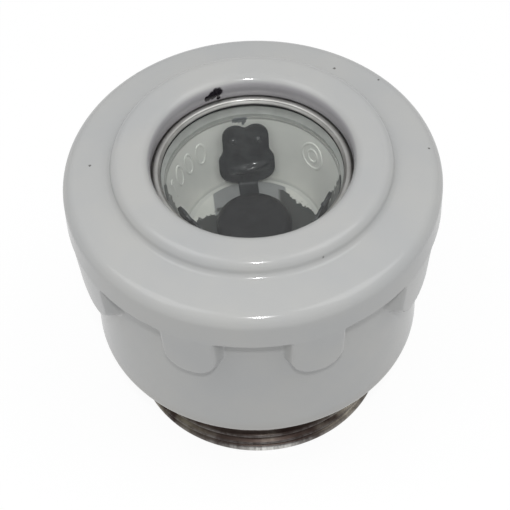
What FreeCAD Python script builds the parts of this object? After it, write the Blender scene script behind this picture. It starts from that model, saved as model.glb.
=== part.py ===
import FreeCAD, Part
import math
import os
import re
import Sketcher

# A screw-in sight glass: a glazed ceramic cap with a round window, a threaded metal shell,
# and a sprung contact whose stem carries the button seen through the glass.
# Millimetres, +Z up along the axis, origin at the middle of the shell's lower rim.
# -Y is the front. Every sub-part is one named object, and every size comes from the sheet.

# name, value, what it is
SIZES = [
    ("overall_height", 59.2, "from the shell's rim to the top of the crown"),
    ("crown_height", 2.9, "from the flange's top to the top of the crown"),
    ("crown_wall", 7.1, "wall of the crown round the window bore"),
    ("crown_round", 2.0, "rounding of the crown's shoulder"),
    ("crown_root_round", 0.9, "hollow between the crown and the flange"),
    ("mouth_round", 2.3, "rounding of the window bore's mouth"),
    ("flange_overhang", 3.7, "how far the flange stands out past the body"),
    ("flange_slope", 10.3, "slope of the flange's top, degrees"),
    ("flange_thickness", 6.7, "thickness of the flange at its edge"),
    ("flange_top_round", 2.7, "rounding of the flange's upper edge"),
    ("body_wall", 5.1, "wall of the body round the shell"),
    ("body_height", 43.6, "from the top of the crown to the body's underside"),
    ("body_round", 3.2, "rounding of the body's lower edge"),
    ("lug_count", 9, "grip lugs round the flange"),
    ("lug_width", 10.6, "width of one lug"),
    ("lug_length", 11.1, "from the flange's lower edge to the lugs' lower ends"),
    ("lug_draft", 1.0, "how far the lugs' outer faces draw in at their lower ends"),
    ("lug_round", 3.4, "rounding of a lug's lower corners"),
    ("lug_edge_round", 0.8, "rounding of the lugs' outer edges"),
    ("lug_root", 3.0, "how far a lug starts inside the body"),
    ("lug_spare", 1.0, "length that a lug has to spare before it is trimmed"),
    ("cap_turn", 18.0, "angle from the front to the first lug, degrees"),
    ("web_thickness", 5.0, "thickness of the ceramic web"),
    ("window_depth", 24.5, "from the top of the crown to the ceramic web"),
    ("window_bore", 18.1, "radius of the window bore"),
    ("ring_groove", 0.5, "depth of the bezel ring's groove"),
    ("ring_drop", 3.7, "from the top of the crown to the bezel ring"),
    ("ring_thickness", 0.8, "thickness of the bezel ring"),
    ("ring_width", 2.0, "radial width of the bezel ring"),
    ("ring_round", 0.25, "rounding of the bezel ring's top edges"),
    ("bezel_gasket_thickness", 0.4, "thickness of the gasket on the glass"),
    ("bezel_gasket_lip", 0.25, "how far that gasket shows inside the ring"),
    ("glass_thickness", 3.0, "thickness of the window glass"),
    ("glass_gap", 0.4, "radial gap between the glass and its bore"),
    ("glass_bevel", 0.3, "bevel on the edges of the glass"),
    ("seat_gasket_thickness", 0.8, "thickness of the gasket under the glass"),
    ("seat_gasket_setback", 0.3, "how far that gasket lies back from the liner's rim"),
    ("bowl_inset", 2.5, "how far the liner's rim stands in from the window bore"),
    ("bowl_taper", 2.9, "how far the liner's wall draws in from its rim to its floor"),
    ("bowl_rim_thickness", 0.8, "thickness of the liner's rim"),
    ("bowl_wall", 1.2, "wall of the liner"),
    ("bowl_floor", 2.0, "thickness of the liner's floor"),
    ("bowl_gap", 0.3, "gap between the liner and the ceramic"),
    ("plate_gap", 1.1, "gap between the plate on the floor and the liner's wall"),
    ("plate_thickness", 0.6, "thickness of that plate"),
    ("claw_count", 3, "claws of the leaf spring"),
    ("claw_turn", -3.0, "angle from the back to the first claw, degrees"),
    ("claw_sheet", 0.5, "thickness of the leaf spring"),
    ("claw_hub_radius", 6.4, "radius of the leaf spring's middle"),
    ("claw_root", 1.0, "how far a claw's neck starts inside the middle"),
    ("claw_neck_width", 3.6, "width of a claw's neck"),
    ("claw_head_width", 10.4, "width of a claw's head"),
    ("claw_foot", 0.6, "length of the neck up the wall, below the head"),
    ("claw_cheek_radius", 3.0, "rounding of a head's lower corners"),
    ("claw_cheek_length", 2.4, "length of a head's widest stretch"),
    ("claw_horn_radius", 2.4, "radius of the two horns on a claw's head"),
    ("claw_horn_offset", 1.9, "distance of each horn's centre from the middle"),
    ("claw_tip_gap", 0.9, "drop from the liner's rim to the top of a claw"),
    ("claw_wall_gap", 0.35, "gap between a claw and the liner's wall"),
    ("stem_radius", 2.0, "radius of the contact stem"),
    ("running_clearance", 0.08, "radial clearance of the stem in its bush"),
    ("fixed_clearance", 0.02, "radial clearance of a piece that is fixed in its place"),
    ("hole_clearance", 0.2, "radial clearance of a bolt in its hole"),
    ("bush_wall", 1.92, "wall of the guide bush"),
    ("bush_flange_lip", 1.6, "how far the bush's flange stands out"),
    ("bush_flange_thickness", 0.6, "thickness of the bush's flange"),
    ("bush_nut_wall", 2.5, "wall of the bush nut at its flats"),
    ("bush_nut_thickness", 3.2, "thickness of the bush nut"),
    ("bush_washer_lip", 3.0, "how far the bush washer stands out from the bush"),
    ("bush_washer_thickness", 0.8, "thickness of the bush washer"),
    ("bush_tail", 0.6, "how far the bush stands out of its nut"),
    ("button_radius", 7.0, "radius of the indicator button"),
    ("button_thickness", 1.7, "thickness of the indicator button"),
    ("button_round", 0.9, "rounding of the button's top edge"),
    ("button_hole", 1.0, "depth of the hole that takes the stem"),
    ("travel", 3.0, "how far the contact is pushed up"),
    ("overtravel", 2.2, "room left between the lock nut and the bush after that travel"),
    ("spring_clearance", 0.55, "radial clearance of the return spring round the bush"),
    ("spring_wire", 0.9, "wire diameter of the return spring"),
    ("spring_turns", 4.0, "turns of the return spring"),
    ("spring_seat_gap", 0.05, "gap between the return spring and each of its seats"),
    ("disc_radius", 9.0, "radius of the contact disc"),
    ("disc_thickness", 3.0, "thickness of the contact disc"),
    ("disc_round", 0.6, "rounding of the contact disc's edges"),
    ("lock_nut_wall", 1.5, "wall of the lock nut at its flats"),
    ("lock_nut_thickness", 2.2, "thickness of the lock nut"),
    ("shell_radius", 22.9, "radius at the thread's root"),
    ("thread_depth", 1.0, "height of the thread"),
    ("thread_pitch", 2.309, "pitch of the thread, 11 to the inch"),
    ("thread_foot", 0.84, "width of the thread at its foot, in pitches"),
    ("thread_crest", 0.28, "width of the thread at its crest, in pitches"),
    ("thread_root", 0.3, "how far the thread's section starts inside the sleeve"),
    ("thread_start", 2.3, "height where the thread starts"),
    ("thread_run_out", 9.6, "length of the plain sleeve above the thread"),
    ("shell_wall", 1.2, "wall of the shell"),
    ("hem_radius", 0.95, "radius of the shell's rolled rim"),
    ("shell_gasket_thickness", 0.8, "thickness of the fibre ring over the shell"),
    ("cavity_gap", 1.3, "gap between the thread's crest and the ceramic"),
    ("cement_height", 3.5, "height of the cement ring"),
    ("cement_recess", 0.6, "how far the cement lies above the underside"),
    ("cement_gap", 0.1, "gap between the cement and the thread's crest"),
    ("screw_count", 3, "fixing screws"),
    ("screw_circle", 11.0, "radius of the circle of the fixing screws"),
    ("screw_radius", 1.5, "radius of a fixing screw"),
    ("screw_head_lip", 1.25, "how far a screw's head stands out"),
    ("screw_head_height", 2.0, "height of a screw's head"),
    ("screw_slot_width", 0.8, "width of a screw's slot"),
    ("screw_slot_depth", 0.9, "depth of a screw's slot"),
    ("screw_washer_lip", 1.4, "how far a screw's washer stands out from the screw"),
    ("screw_washer_thickness", 0.5, "thickness of a screw's washer"),
    ("nut_wall", 1.25, "wall of a fixing nut at its flats"),
    ("nut_thickness", 2.4, "thickness of a fixing nut"),
    ("nut_cover", 0.3, "how far a fixing nut lies under the web's top"),
    ("nut_gap", 0.15, "gap round a nut in its pocket"),
]
NAMES = {name for name, size, note in SIZES}

# A sketch line's or circle's points, and the sketch's two axes, by Sketcher's numbers.
START = 1
END = 2
CENTRE = 3
LEVEL_AXIS = -1
UPRIGHT_AXIS = -2
# How near to an axis a point counts as on it, and how near two lengths count as the same.
ON_AXIS = 1e-6
SAME = 0.01

# Heights and radii that follow from the sizes above, as expressions.
WEB_TOP = "(overall_height - window_depth)"
WEB_BOTTOM = f"({WEB_TOP} - web_thickness)"
SHELL_TOP = f"({WEB_BOTTOM} - shell_gasket_thickness)"
PLATE_BOTTOM = f"({SHELL_TOP} - shell_wall)"
THREAD_CREST = "(shell_radius + thread_depth)"
CAVITY = f"({THREAD_CREST} + cavity_gap)"
BODY_RADIUS = f"({CAVITY} + body_wall)"
FLANGE_RADIUS = f"({BODY_RADIUS} + flange_overhang)"
LUG_FOOT_RADIUS = f"({FLANGE_RADIUS} - lug_draft)"
CROWN_RADIUS = "(window_bore + crown_wall)"
FLANGE_ROOT = "(overall_height - crown_height)"
FLANGE_RIM = f"({FLANGE_ROOT} - ({FLANGE_RADIUS} - {CROWN_RADIUS}) * tan(flange_slope))"
FLANGE_BOTTOM = f"({FLANGE_RIM} - flange_thickness)"
LUG_BOTTOM = f"({FLANGE_BOTTOM} - lug_length)"
BODY_BOTTOM = "(overall_height - body_height)"
RING_TOP = "(overall_height - ring_drop)"
RING_BOTTOM = f"({RING_TOP} - ring_thickness)"
RING_OUTER = "(window_bore + ring_groove)"
RING_INNER = f"({RING_OUTER} - ring_width)"
GLASS_TOP = f"({RING_BOTTOM} - bezel_gasket_thickness)"
GLASS_BOTTOM = f"({GLASS_TOP} - glass_thickness)"
GLASS_RADIUS = "(window_bore - glass_gap)"
RIM_TOP = f"({GLASS_BOTTOM} - seat_gasket_thickness)"
LEDGE = f"({RIM_TOP} - bowl_rim_thickness)"
BOWL_TOP_RADIUS = "(window_bore - bowl_inset)"
BOWL_FLOOR_RADIUS = f"({BOWL_TOP_RADIUS} - bowl_taper)"
BOWL_HOLE_TOP = f"({BOWL_TOP_RADIUS} + bowl_wall + bowl_gap)"
BOWL_HOLE_BOTTOM = f"({BOWL_FLOOR_RADIUS} + bowl_wall + bowl_gap)"
FLOOR_TOP = f"({WEB_TOP} + bowl_floor)"
SHEET_BOTTOM = f"({FLOOR_TOP} + plate_thickness)"
SHEET_TOP = f"({SHEET_BOTTOM} + claw_sheet)"
BUSH_TOP = f"({SHEET_TOP} + bush_flange_thickness)"
BUSH_BORE = "(stem_radius + running_clearance)"
BUSH_RADIUS = f"({BUSH_BORE} + bush_wall)"
BUSH_HOLE = f"({BUSH_RADIUS} + hole_clearance)"
NUT_TOP = f"({PLATE_BOTTOM} - bush_washer_thickness)"
NUT_BOTTOM = f"({NUT_TOP} - bush_nut_thickness)"
SPRING_LENGTH = "(lock_nut_thickness + bush_tail + travel + overtravel)"
SPRING_RADIUS = f"({BUSH_RADIUS} + spring_clearance + spring_wire / 2)"
DISC_TOP = f"({NUT_BOTTOM} - {SPRING_LENGTH})"
DISC_BOTTOM = f"({DISC_TOP} - disc_thickness)"
STEM_FIT = "(stem_radius + fixed_clearance)"
SCREW_HOLE = "(screw_radius + hole_clearance)"
SCREW_HEAD_RADIUS = "(screw_radius + screw_head_lip)"
WASHER_BOTTOM = f"({PLATE_BOTTOM} - screw_washer_thickness)"
NUT_WIDTH = "(2 * (screw_radius + nut_wall))"
NUT_POCKET = "(nut_thickness + nut_cover)"

doc = FreeCAD.newDocument("SightGlass")
sheet = doc.addObject("Spreadsheet::Sheet", "Sizes")


def fill_sheet():
    for row, (name, size, note) in enumerate(SIZES, start=1):
        sheet.set(f"A{row}", name)
        sheet.set(f"B{row}", str(size))
        sheet.set(f"C{row}", note)
        sheet.setAlias(f"B{row}", name)
    doc.recompute()


def bound(text):
    """The expression with each size name pointed at the sheet."""
    return re.sub(r"[a-z_]+", lambda word: f"Sizes.{word[0]}" if word[0] in NAMES else word[0], text)


def number(text):
    """The expression's value now."""
    return float(sheet.evalExpression(bound(text)))


def bind(item, **expressions):
    """Tie properties of an object to expressions; two underscores stand for a dot."""
    for name, text in expressions.items():
        item.setExpression(name.replace("__", "."), bound(text))


def new_body(label):
    body = doc.addObject("PartDesign::Body", label)
    body.Label = label
    return body


def origin_feature(body, role):
    return [item for item in body.Origin.OriginFeatures if item.Role == role][0]


def new_sketch(body, role, offset=None):
    """An empty sketch on one of the body's planes, offset along the plane's normal."""
    sketch = body.newObject("Sketcher::SketchObject", f"{body.Name}_sketch")
    sketch.AttachmentSupport = (origin_feature(body, role), [""])
    sketch.MapMode = "FlatFace"
    if offset is not None:
        bind(sketch, AttachmentOffset__Base__z=offset)
    return sketch


def first(index, hollows):
    """Which of its own two ends an outline's line or arc starts from."""
    return END if index in hollows else START


def draw_outline(sketch, corners, arcs=None, hollows=()):
    """A closed outline through corners, each a pair of expressions along the sketch's axes.

    arcs gives, for a corner's number, the centre and radius of an arc that runs from it to
    the next corner in place of a line. It is counterclockwise, or clockwise if it is in hollows.
    """
    arcs = arcs or {}
    points = [FreeCAD.Vector(number(across), number(along), 0) for across, along in corners]
    following = points[1:] + points[:1]
    for index, (start, end) in enumerate(zip(points, following)):
        if index in hollows:
            start, end = end, start
        if index in arcs:
            sketch.addGeometry(arc_between(start, end, *arcs[index]))
        else:
            sketch.addGeometry(Part.LineSegment(start, end))
    for index, (across, along) in enumerate(corners):
        after = (index + 1) % len(corners)
        last = START if index in hollows else END
        sketch.addConstraint(Sketcher.Constraint("Coincident", index, last, after, first(after, hollows)))
        hold_point(sketch, index, first(index, hollows), across, along)
    for index, (across, along, radius) in arcs.items():
        size = sketch.addConstraint(Sketcher.Constraint("Radius", index, number(radius)))
        sketch.setExpression(f"Constraints[{size}]", bound(radius))


def arc_between(start, end, across, along, radius):
    centre = FreeCAD.Vector(number(across), number(along), 0)
    circle = Part.Circle(centre, FreeCAD.Vector(0, 0, 1), number(radius))
    angles = [math.atan2(point.y - centre.y, point.x - centre.x) for point in (start, end)]
    return Part.ArcOfCircle(circle, *angles)


def hold_point(sketch, index, position, across, along):
    """Hold a point of the sketch at distances from the origin; a distance of 0 puts it on the axis."""
    for kind, axis, text in (("DistanceX", UPRIGHT_AXIS, across), ("DistanceY", LEVEL_AXIS, along)):
        size = number(text)
        if abs(size) < ON_AXIS:
            sketch.addConstraint(Sketcher.Constraint("PointOnObject", index, position, axis))
            continue
        origin = (LEVEL_AXIS, START)
        constraint = sketch.addConstraint(Sketcher.Constraint(kind, *origin, index, position, size))
        sketch.setExpression(f"Constraints[{constraint}]", bound(text))


def draw_circle(sketch, across, along, radius):
    centre = FreeCAD.Vector(number(across), number(along), 0)
    index = sketch.addGeometry(Part.Circle(centre, FreeCAD.Vector(0, 0, 1), number(radius)))
    hold_point(sketch, index, CENTRE, across, along)
    size = sketch.addConstraint(Sketcher.Constraint("Radius", index, number(radius)))
    sketch.setExpression(f"Constraints[{size}]", bound(radius))


def turn(body, corners, arcs=None, hollows=()):
    """A full revolution about the axis of an outline in radius and height."""
    sketch = new_sketch(body, "XZ_Plane")
    draw_outline(sketch, corners, arcs, hollows)
    feature = body.newObject("PartDesign::Revolution", f"{body.Name}_turned")
    feature.Profile = sketch
    feature.ReferenceAxis = (sketch, ["V_Axis"])
    feature.Angle = 360
    doc.recompute()
    return feature


def turned(label, corners):
    body = new_body(label)
    turn(body, corners)
    return body


def ring(label, inner, outer, bottom, top):
    """A washer or disc with a square section; an inner radius of 0 makes a solid disc."""
    return turned(label, [(inner, bottom), (outer, bottom), (outer, top), (inner, top)])


def circles(shape, radius, height):
    """Names of the level round edges of a radius at a height."""
    names = []
    for index, edge in enumerate(shape.Edges, start=1):
        box = edge.BoundBox
        level = box.ZLength < SAME and abs(box.ZMin - height) < SAME
        if level and isinstance(edge.Curve, Part.Circle) and abs(edge.Curve.Radius - radius) < SAME:
            names.append(f"Edge{index}")
    return names


def round_edges(body, size, places, kind="Fillet"):
    """Fillet or chamfer the body's round edges, each given by radius and height."""
    base = body.Tip
    names = []
    for radius, height in places:
        names += circles(base.Shape, number(radius), number(height))
    feature = body.newObject(f"PartDesign::{kind}", f"{body.Name}_{kind.lower()}")
    feature.Base = (base, names)
    body.Tip = feature
    size_name = "Radius" if kind == "Fillet" else "Size"
    feature.setExpression(size_name, bound(size))
    doc.recompute()
    return feature


def pattern(body, features, count):
    """Repeat features round the axis."""
    repeat = body.newObject("PartDesign::PolarPattern", f"{body.Name}_pattern")
    repeat.Originals = features
    repeat.Axis = (origin_feature(body, "Z_Axis"), [""])
    repeat.Angle = 360
    bind(repeat, Occurrences=count)
    body.Tip = repeat
    doc.recompute()
    return repeat


def drill(body, top, radius, across):
    """A round hole down from a height, right through."""
    sketch = new_sketch(body, "XY_Plane", top)
    draw_circle(sketch, across, "0", radius)
    return cut(body, sketch)


def cut(body, sketch, depth=None):
    """A pocket down from its sketch, right through unless a depth is given."""
    before = body.Tip.Shape.Volume
    feature = body.newObject("PartDesign::Pocket", f"{body.Name}_pocket")
    feature.Profile = sketch
    if depth is None:
        feature.Type = "ThroughAll"
    else:
        bind(feature, Length=depth)
    doc.recompute()
    if feature.Shape.Volume >= before:
        raise RuntimeError(f"{feature.Name} cuts nothing")
    return feature


def draw_hexagon(sketch, width, across):
    """A hexagon, of a width across its flats, centred on the sketch's first axis."""
    corner = f"({width}) / 2 / cos(30)"
    draw_outline(sketch, [
        (f"{across} + {corner} * cos({angle})", f"{corner} * sin({angle})") for angle in range(0, 360, 60)
    ])


def make_ceramic_cap():
    body = new_body("ceramic_cap")
    rim = f"({FLANGE_RIM} - flange_top_round * (1 / cos(flange_slope) - tan(flange_slope)))"
    root = f"({FLANGE_ROOT} + crown_root_round * (1 / cos(flange_slope) - tan(flange_slope)))"
    turn(body, [
        (CAVITY, BODY_BOTTOM),
        (BODY_RADIUS, BODY_BOTTOM),
        (BODY_RADIUS, FLANGE_BOTTOM),
        (FLANGE_RADIUS, FLANGE_BOTTOM),
        (FLANGE_RADIUS, rim),
        (f"{FLANGE_RADIUS} - flange_top_round * (1 - sin(flange_slope))",
         f"{rim} + flange_top_round * cos(flange_slope)"),
        (f"{CROWN_RADIUS} + crown_root_round * (1 - sin(flange_slope))",
         f"{root} - crown_root_round * cos(flange_slope)"),
        (CROWN_RADIUS, root),
        (CROWN_RADIUS, "overall_height"),
        ("window_bore", "overall_height"),
        ("window_bore", RING_TOP),
        (RING_OUTER, RING_TOP),
        (RING_OUTER, RING_BOTTOM),
        ("window_bore", RING_BOTTOM),
        ("window_bore", LEDGE),
        (BOWL_HOLE_TOP, LEDGE),
        (BOWL_HOLE_BOTTOM, WEB_TOP),
        (BUSH_HOLE, WEB_TOP),
        (BUSH_HOLE, WEB_BOTTOM),
        (CAVITY, WEB_BOTTOM),
    ], arcs={
        4: (f"{FLANGE_RADIUS} - flange_top_round", rim, "flange_top_round"),
        6: (f"{CROWN_RADIUS} + crown_root_round", root, "crown_root_round"),
    }, hollows={6})
    round_edges(body, "crown_round", [(CROWN_RADIUS, "overall_height")])
    round_edges(body, "mouth_round", [("window_bore", "overall_height")])
    round_edges(body, "body_round", [(BODY_RADIUS, BODY_BOTTOM)])
    lug = add_lug(body)
    pattern(body, [lug], "lug_count")
    trim_lugs(body)
    round_lugs(body)
    hole = drill(body, WEB_TOP, SCREW_HOLE, "screw_circle")
    pocket_sketch = new_sketch(body, "XY_Plane", WEB_TOP)
    draw_hexagon(pocket_sketch, f"{NUT_WIDTH} + 2 * nut_gap", "screw_circle")
    pocket = cut(body, pocket_sketch, NUT_POCKET)
    pattern(body, [hole, pocket], "screw_count")
    return body


def add_lug(body):
    """One lug: a tab with rounded lower corners, from inside the body to past the flange."""
    inside = f"({BODY_RADIUS} - lug_root)"
    sketch = new_sketch(body, "XZ_Plane", inside)
    half = "lug_width / 2"
    low = f"{LUG_BOTTOM} + lug_round"
    top = f"{FLANGE_BOTTOM} + lug_spare"
    draw_outline(sketch, [
        (f"lug_round - {half}", LUG_BOTTOM),
        (f"{half} - lug_round", LUG_BOTTOM),
        (half, low),
        (half, top),
        (f"0 - {half}", top),
        (f"0 - {half}", low),
    ], arcs={
        1: (f"{half} - lug_round", low, "lug_round"),
        5: (f"lug_round - {half}", low, "lug_round"),
    })
    feature = body.newObject("PartDesign::Pad", f"{body.Name}_lug")
    feature.Profile = sketch
    bind(feature, Length=f"{FLANGE_RADIUS} + lug_spare - {inside}")
    doc.recompute()
    return feature


def trim_lugs(body):
    """Turn the lugs' outer faces down to a draft that starts at the flange's lower edge."""
    sketch = new_sketch(body, "XZ_Plane")
    outside = f"{FLANGE_RADIUS} + 2 * lug_spare"
    above = f"{FLANGE_BOTTOM} + 2 * lug_spare"
    draw_outline(sketch, [
        (LUG_FOOT_RADIUS, LUG_BOTTOM),
        (LUG_FOOT_RADIUS, f"{LUG_BOTTOM} - lug_spare"),
        (outside, f"{LUG_BOTTOM} - lug_spare"),
        (outside, above),
        (FLANGE_RADIUS, above),
        (FLANGE_RADIUS, FLANGE_BOTTOM),
    ])
    before = body.Tip.Shape.Volume
    feature = body.newObject("PartDesign::Groove", f"{body.Name}_trim")
    feature.Profile = sketch
    feature.ReferenceAxis = (sketch, ["V_Axis"])
    feature.Angle = 360
    doc.recompute()
    if feature.Shape.Volume >= before:
        raise RuntimeError("the trim cuts nothing off the lugs")


def round_lugs(body):
    """Round the lugs' outer edges."""
    base = body.Tip
    names = []
    for index, edge in enumerate(base.Shape.Edges, start=1):
        if is_lug_edge(edge):
            names.append(f"Edge{index}")
    feature = body.newObject("PartDesign::Fillet", f"{body.Name}_lug_edges")
    feature.Base = (base, names)
    bind(feature, Radius="lug_edge_round")
    doc.recompute()


def is_lug_edge(edge):
    """Whether all of an edge lies on the lugs' drafted face, at a lug's side or foot."""
    flange_bottom = number(FLANGE_BOTTOM)
    for point in (edge.firstVertex().Point, edge.CenterOfMass, edge.lastVertex().Point):
        below = flange_bottom - point.z
        face = number(FLANGE_RADIUS) - number("lug_draft / lug_length") * below
        if below < -SAME or abs(math.hypot(point.x, point.y) - face) > SAME:
            return False
    return edge.BoundBox.ZLength > SAME or edge.BoundBox.ZMin < flange_bottom - SAME


def make_bezel_ring():
    outer = f"{RING_OUTER} - fixed_clearance"
    body = ring("bezel_ring", RING_INNER, outer, RING_BOTTOM, RING_TOP)
    round_edges(body, "ring_round", [(RING_INNER, RING_TOP), (outer, RING_TOP)])
    return body


def make_bezel_gasket():
    inner = f"{RING_INNER} - bezel_gasket_lip"
    return ring("bezel_gasket", inner, GLASS_RADIUS, GLASS_TOP, RING_BOTTOM)


def make_window_glass():
    body = ring("window_glass", "0", GLASS_RADIUS, GLASS_BOTTOM, GLASS_TOP)
    round_edges(body, "glass_bevel", [(GLASS_RADIUS, GLASS_BOTTOM), (GLASS_RADIUS, GLASS_TOP)], "Chamfer")
    return body


def make_seat_gasket():
    inner = f"{BOWL_TOP_RADIUS} + seat_gasket_setback"
    return ring("seat_gasket", inner, GLASS_RADIUS, RIM_TOP, GLASS_BOTTOM)


def make_dial_bowl():
    """The pale liner: a rim on the ceramic's ledge, a conical wall and a flat floor."""
    return turned("dial_bowl", [
        (BUSH_HOLE, WEB_TOP),
        (f"{BOWL_FLOOR_RADIUS} + bowl_wall", WEB_TOP),
        (f"{BOWL_TOP_RADIUS} + bowl_wall", LEDGE),
        (GLASS_RADIUS, LEDGE),
        (GLASS_RADIUS, RIM_TOP),
        (BOWL_TOP_RADIUS, RIM_TOP),
        (BOWL_FLOOR_RADIUS, FLOOR_TOP),
        (BUSH_HOLE, FLOOR_TOP),
    ])


def make_floor_washer():
    return ring("floor_washer", BUSH_HOLE, f"{BOWL_FLOOR_RADIUS} - plate_gap", FLOOR_TOP, SHEET_BOTTOM)


def fuse(name, members):
    item = doc.addObject("Part::MultiFuse", name)
    item.Shapes = members
    return item


def box(name, length, width, height, left, front, bottom):
    """A block with its low corner at left, front, bottom."""
    item = doc.addObject("Part::Box", name)
    bind(item, Length=length, Width=width, Height=height)
    bind(item, Placement__Base__x=left, Placement__Base__y=front, Placement__Base__z=bottom)
    return item


def post(name, radius, height, across="0", along="0", bottom="0"):
    """An upright cylinder standing at a place."""
    item = doc.addObject("Part::Cylinder", name)
    bind(item, Radius=radius, Height=height)
    bind(item, Placement__Base__x=across, Placement__Base__y=along, Placement__Base__z=bottom)
    return item


def make_leaf(index, slope):
    """A claw's head, drawn flat: a neck, two round cheeks and two horns at the tip."""
    neck = "claw_neck_width / 2"
    half = "claw_head_width / 2"
    cheek = f"({half} - claw_cheek_radius)"
    cheek_centre = "(claw_foot + claw_cheek_radius)"
    shoulder = f"({cheek_centre} + claw_cheek_length)"
    tip = f"({slope} - claw_horn_radius)"
    notch = f"{tip} + sqrt(claw_horn_radius * claw_horn_radius - claw_horn_offset * claw_horn_offset)"
    horn_side = "claw_horn_offset + claw_horn_radius"
    body = new_body(f"claw_{index}_leaf")
    sketch = new_sketch(body, "XY_Plane")
    draw_outline(sketch, [
        (f"0 - {neck}", "0"),
        (neck, "0"),
        (neck, "claw_foot"),
        (cheek, "claw_foot"),
        (half, cheek_centre),
        (half, shoulder),
        (horn_side, tip),
        ("0", notch),
        (f"0 - ({horn_side})", tip),
        (f"0 - {half}", shoulder),
        (f"0 - {half}", cheek_centre),
        (f"0 - {cheek}", "claw_foot"),
        (f"0 - {neck}", "claw_foot"),
    ], arcs={
        3: (cheek, cheek_centre, "claw_cheek_radius"),
        6: ("claw_horn_offset", tip, "claw_horn_radius"),
        7: ("0 - claw_horn_offset", tip, "claw_horn_radius"),
        10: (f"0 - {cheek}", cheek_centre, "claw_cheek_radius"),
    })
    feature = body.newObject("PartDesign::Pad", f"{body.Name}_pad")
    feature.Profile = sketch
    bind(feature, Length="claw_sheet")
    doc.recompute()
    return body


def make_claw(index):
    """A neck along the floor and a head that leans with the liner's wall."""
    half = "(claw_head_width / 2)"
    bend = f"(sqrt({BOWL_FLOOR_RADIUS} * {BOWL_FLOOR_RADIUS} - {half} * {half}) - claw_wall_gap)"
    lean = f"atan(bowl_taper / ({RIM_TOP} - {FLOOR_TOP}))"
    slope = f"(({RIM_TOP} - claw_tip_gap - {SHEET_BOTTOM}) / cos({lean}))"
    leaf = make_leaf(index, slope)
    leaf.Placement = FreeCAD.Placement(FreeCAD.Vector(), FreeCAD.Rotation(FreeCAD.Vector(1, 0, 0), 90))
    bind(leaf, Placement__Base__y=bend, Placement__Base__z=SHEET_BOTTOM)
    bind(leaf, Placement__Rotation__Angle=f"90 deg - {lean}")
    neck_root = "(claw_hub_radius - claw_root)"
    neck = box(f"claw_{index}_neck", "claw_neck_width", f"{bend} - {neck_root}", "claw_sheet",
               "0 - claw_neck_width / 2", neck_root, SHEET_BOTTOM)
    claw = fuse(f"claw_{index}", [neck, leaf])
    turn_about_axis(claw, f"claw_turn + 360 / claw_count * {index}")
    return claw


def turn_about_axis(item, angle):
    """Turn an object about the vertical axis, clockwise seen from above."""
    down = FreeCAD.Vector(0, 0, -1)
    item.Placement = FreeCAD.Placement(FreeCAD.Vector(), FreeCAD.Rotation(down, number(angle)))
    bind(item, Placement__Rotation__Angle=angle)


def make_claw_spring():
    hub = ring("claw_hub", BUSH_HOLE, "claw_hub_radius", SHEET_BOTTOM, SHEET_TOP)
    claws = [make_claw(index) for index in range(int(number("claw_count")))]
    spring = fuse("claw_spring", [hub] + claws)
    spring.Label = "claw_spring"
    return spring


def make_guide_bush():
    """A hollow bolt with a wide flange on top."""
    bottom = f"{NUT_BOTTOM} - bush_tail"
    return turned("guide_bush", [
        (BUSH_BORE, bottom),
        (BUSH_RADIUS, bottom),
        (BUSH_RADIUS, SHEET_TOP),
        (f"{BUSH_RADIUS} + bush_flange_lip", SHEET_TOP),
        (f"{BUSH_RADIUS} + bush_flange_lip", BUSH_TOP),
        (BUSH_BORE, BUSH_TOP),
    ])


def make_bush_washer():
    return ring("bush_washer", BUSH_HOLE, f"{BUSH_RADIUS} + bush_washer_lip", NUT_TOP, PLATE_BOTTOM)


def nut(name, width, thickness, bore, bottom, across="0", along="0"):
    """A hexagonal nut with its bore's radius given."""
    hexagon = doc.addObject("Part::Prism", f"{name}_hexagon")
    hexagon.Polygon = 6
    bind(hexagon, Circumradius=f"({width}) / 2 / cos(30)", Height=thickness)
    bind(hexagon, Placement__Base__x=across, Placement__Base__y=along, Placement__Base__z=bottom)
    hole = post(f"{name}_bore", bore, thickness, across, along, bottom)
    item = doc.addObject("Part::Cut", name)
    item.Base = hexagon
    item.Tool = hole
    return item


def make_bush_nut():
    bore = f"{BUSH_RADIUS} + fixed_clearance"
    width = f"2 * ({BUSH_RADIUS} + bush_nut_wall)"
    item = nut("bush_nut", width, "bush_nut_thickness", bore, NUT_BOTTOM)
    item.Label = "bush_nut"
    return item


def make_indicator_button():
    """A black disc with a blind hole for the stem's top."""
    top = f"{BUSH_TOP} + button_thickness"
    hole_top = f"{BUSH_TOP} + button_hole"
    body = turned("indicator_button", [
        (STEM_FIT, BUSH_TOP),
        ("button_radius", BUSH_TOP),
        ("button_radius", top),
        ("0", top),
        ("0", hole_top),
        (STEM_FIT, hole_top),
    ])
    round_edges(body, "button_round", [("button_radius", top)])
    return body


def make_contact_stem():
    return ring("contact_stem", "0", "stem_radius", DISC_BOTTOM, f"{BUSH_TOP} + button_hole")


def make_contact_disc():
    body = ring("contact_disc", STEM_FIT, "disc_radius", DISC_BOTTOM, DISC_TOP)
    round_edges(body, "disc_round", [("disc_radius", DISC_BOTTOM), ("disc_radius", DISC_TOP)])
    return body


def make_lock_nut():
    width = "2 * (stem_radius + lock_nut_wall)"
    item = nut("lock_nut", width, "lock_nut_thickness", STEM_FIT, DISC_TOP)
    item.Label = "lock_nut"
    return item


def add_helix(body, sketch, pitch, length):
    feature = body.newObject("PartDesign::AdditiveHelix", f"{body.Name}_helix")
    feature.Profile = sketch
    feature.ReferenceAxis = (sketch, ["V_Axis"])
    feature.Mode = "pitch-height-angle"
    bind(feature, Pitch=pitch, Height=length)
    doc.recompute()


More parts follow.
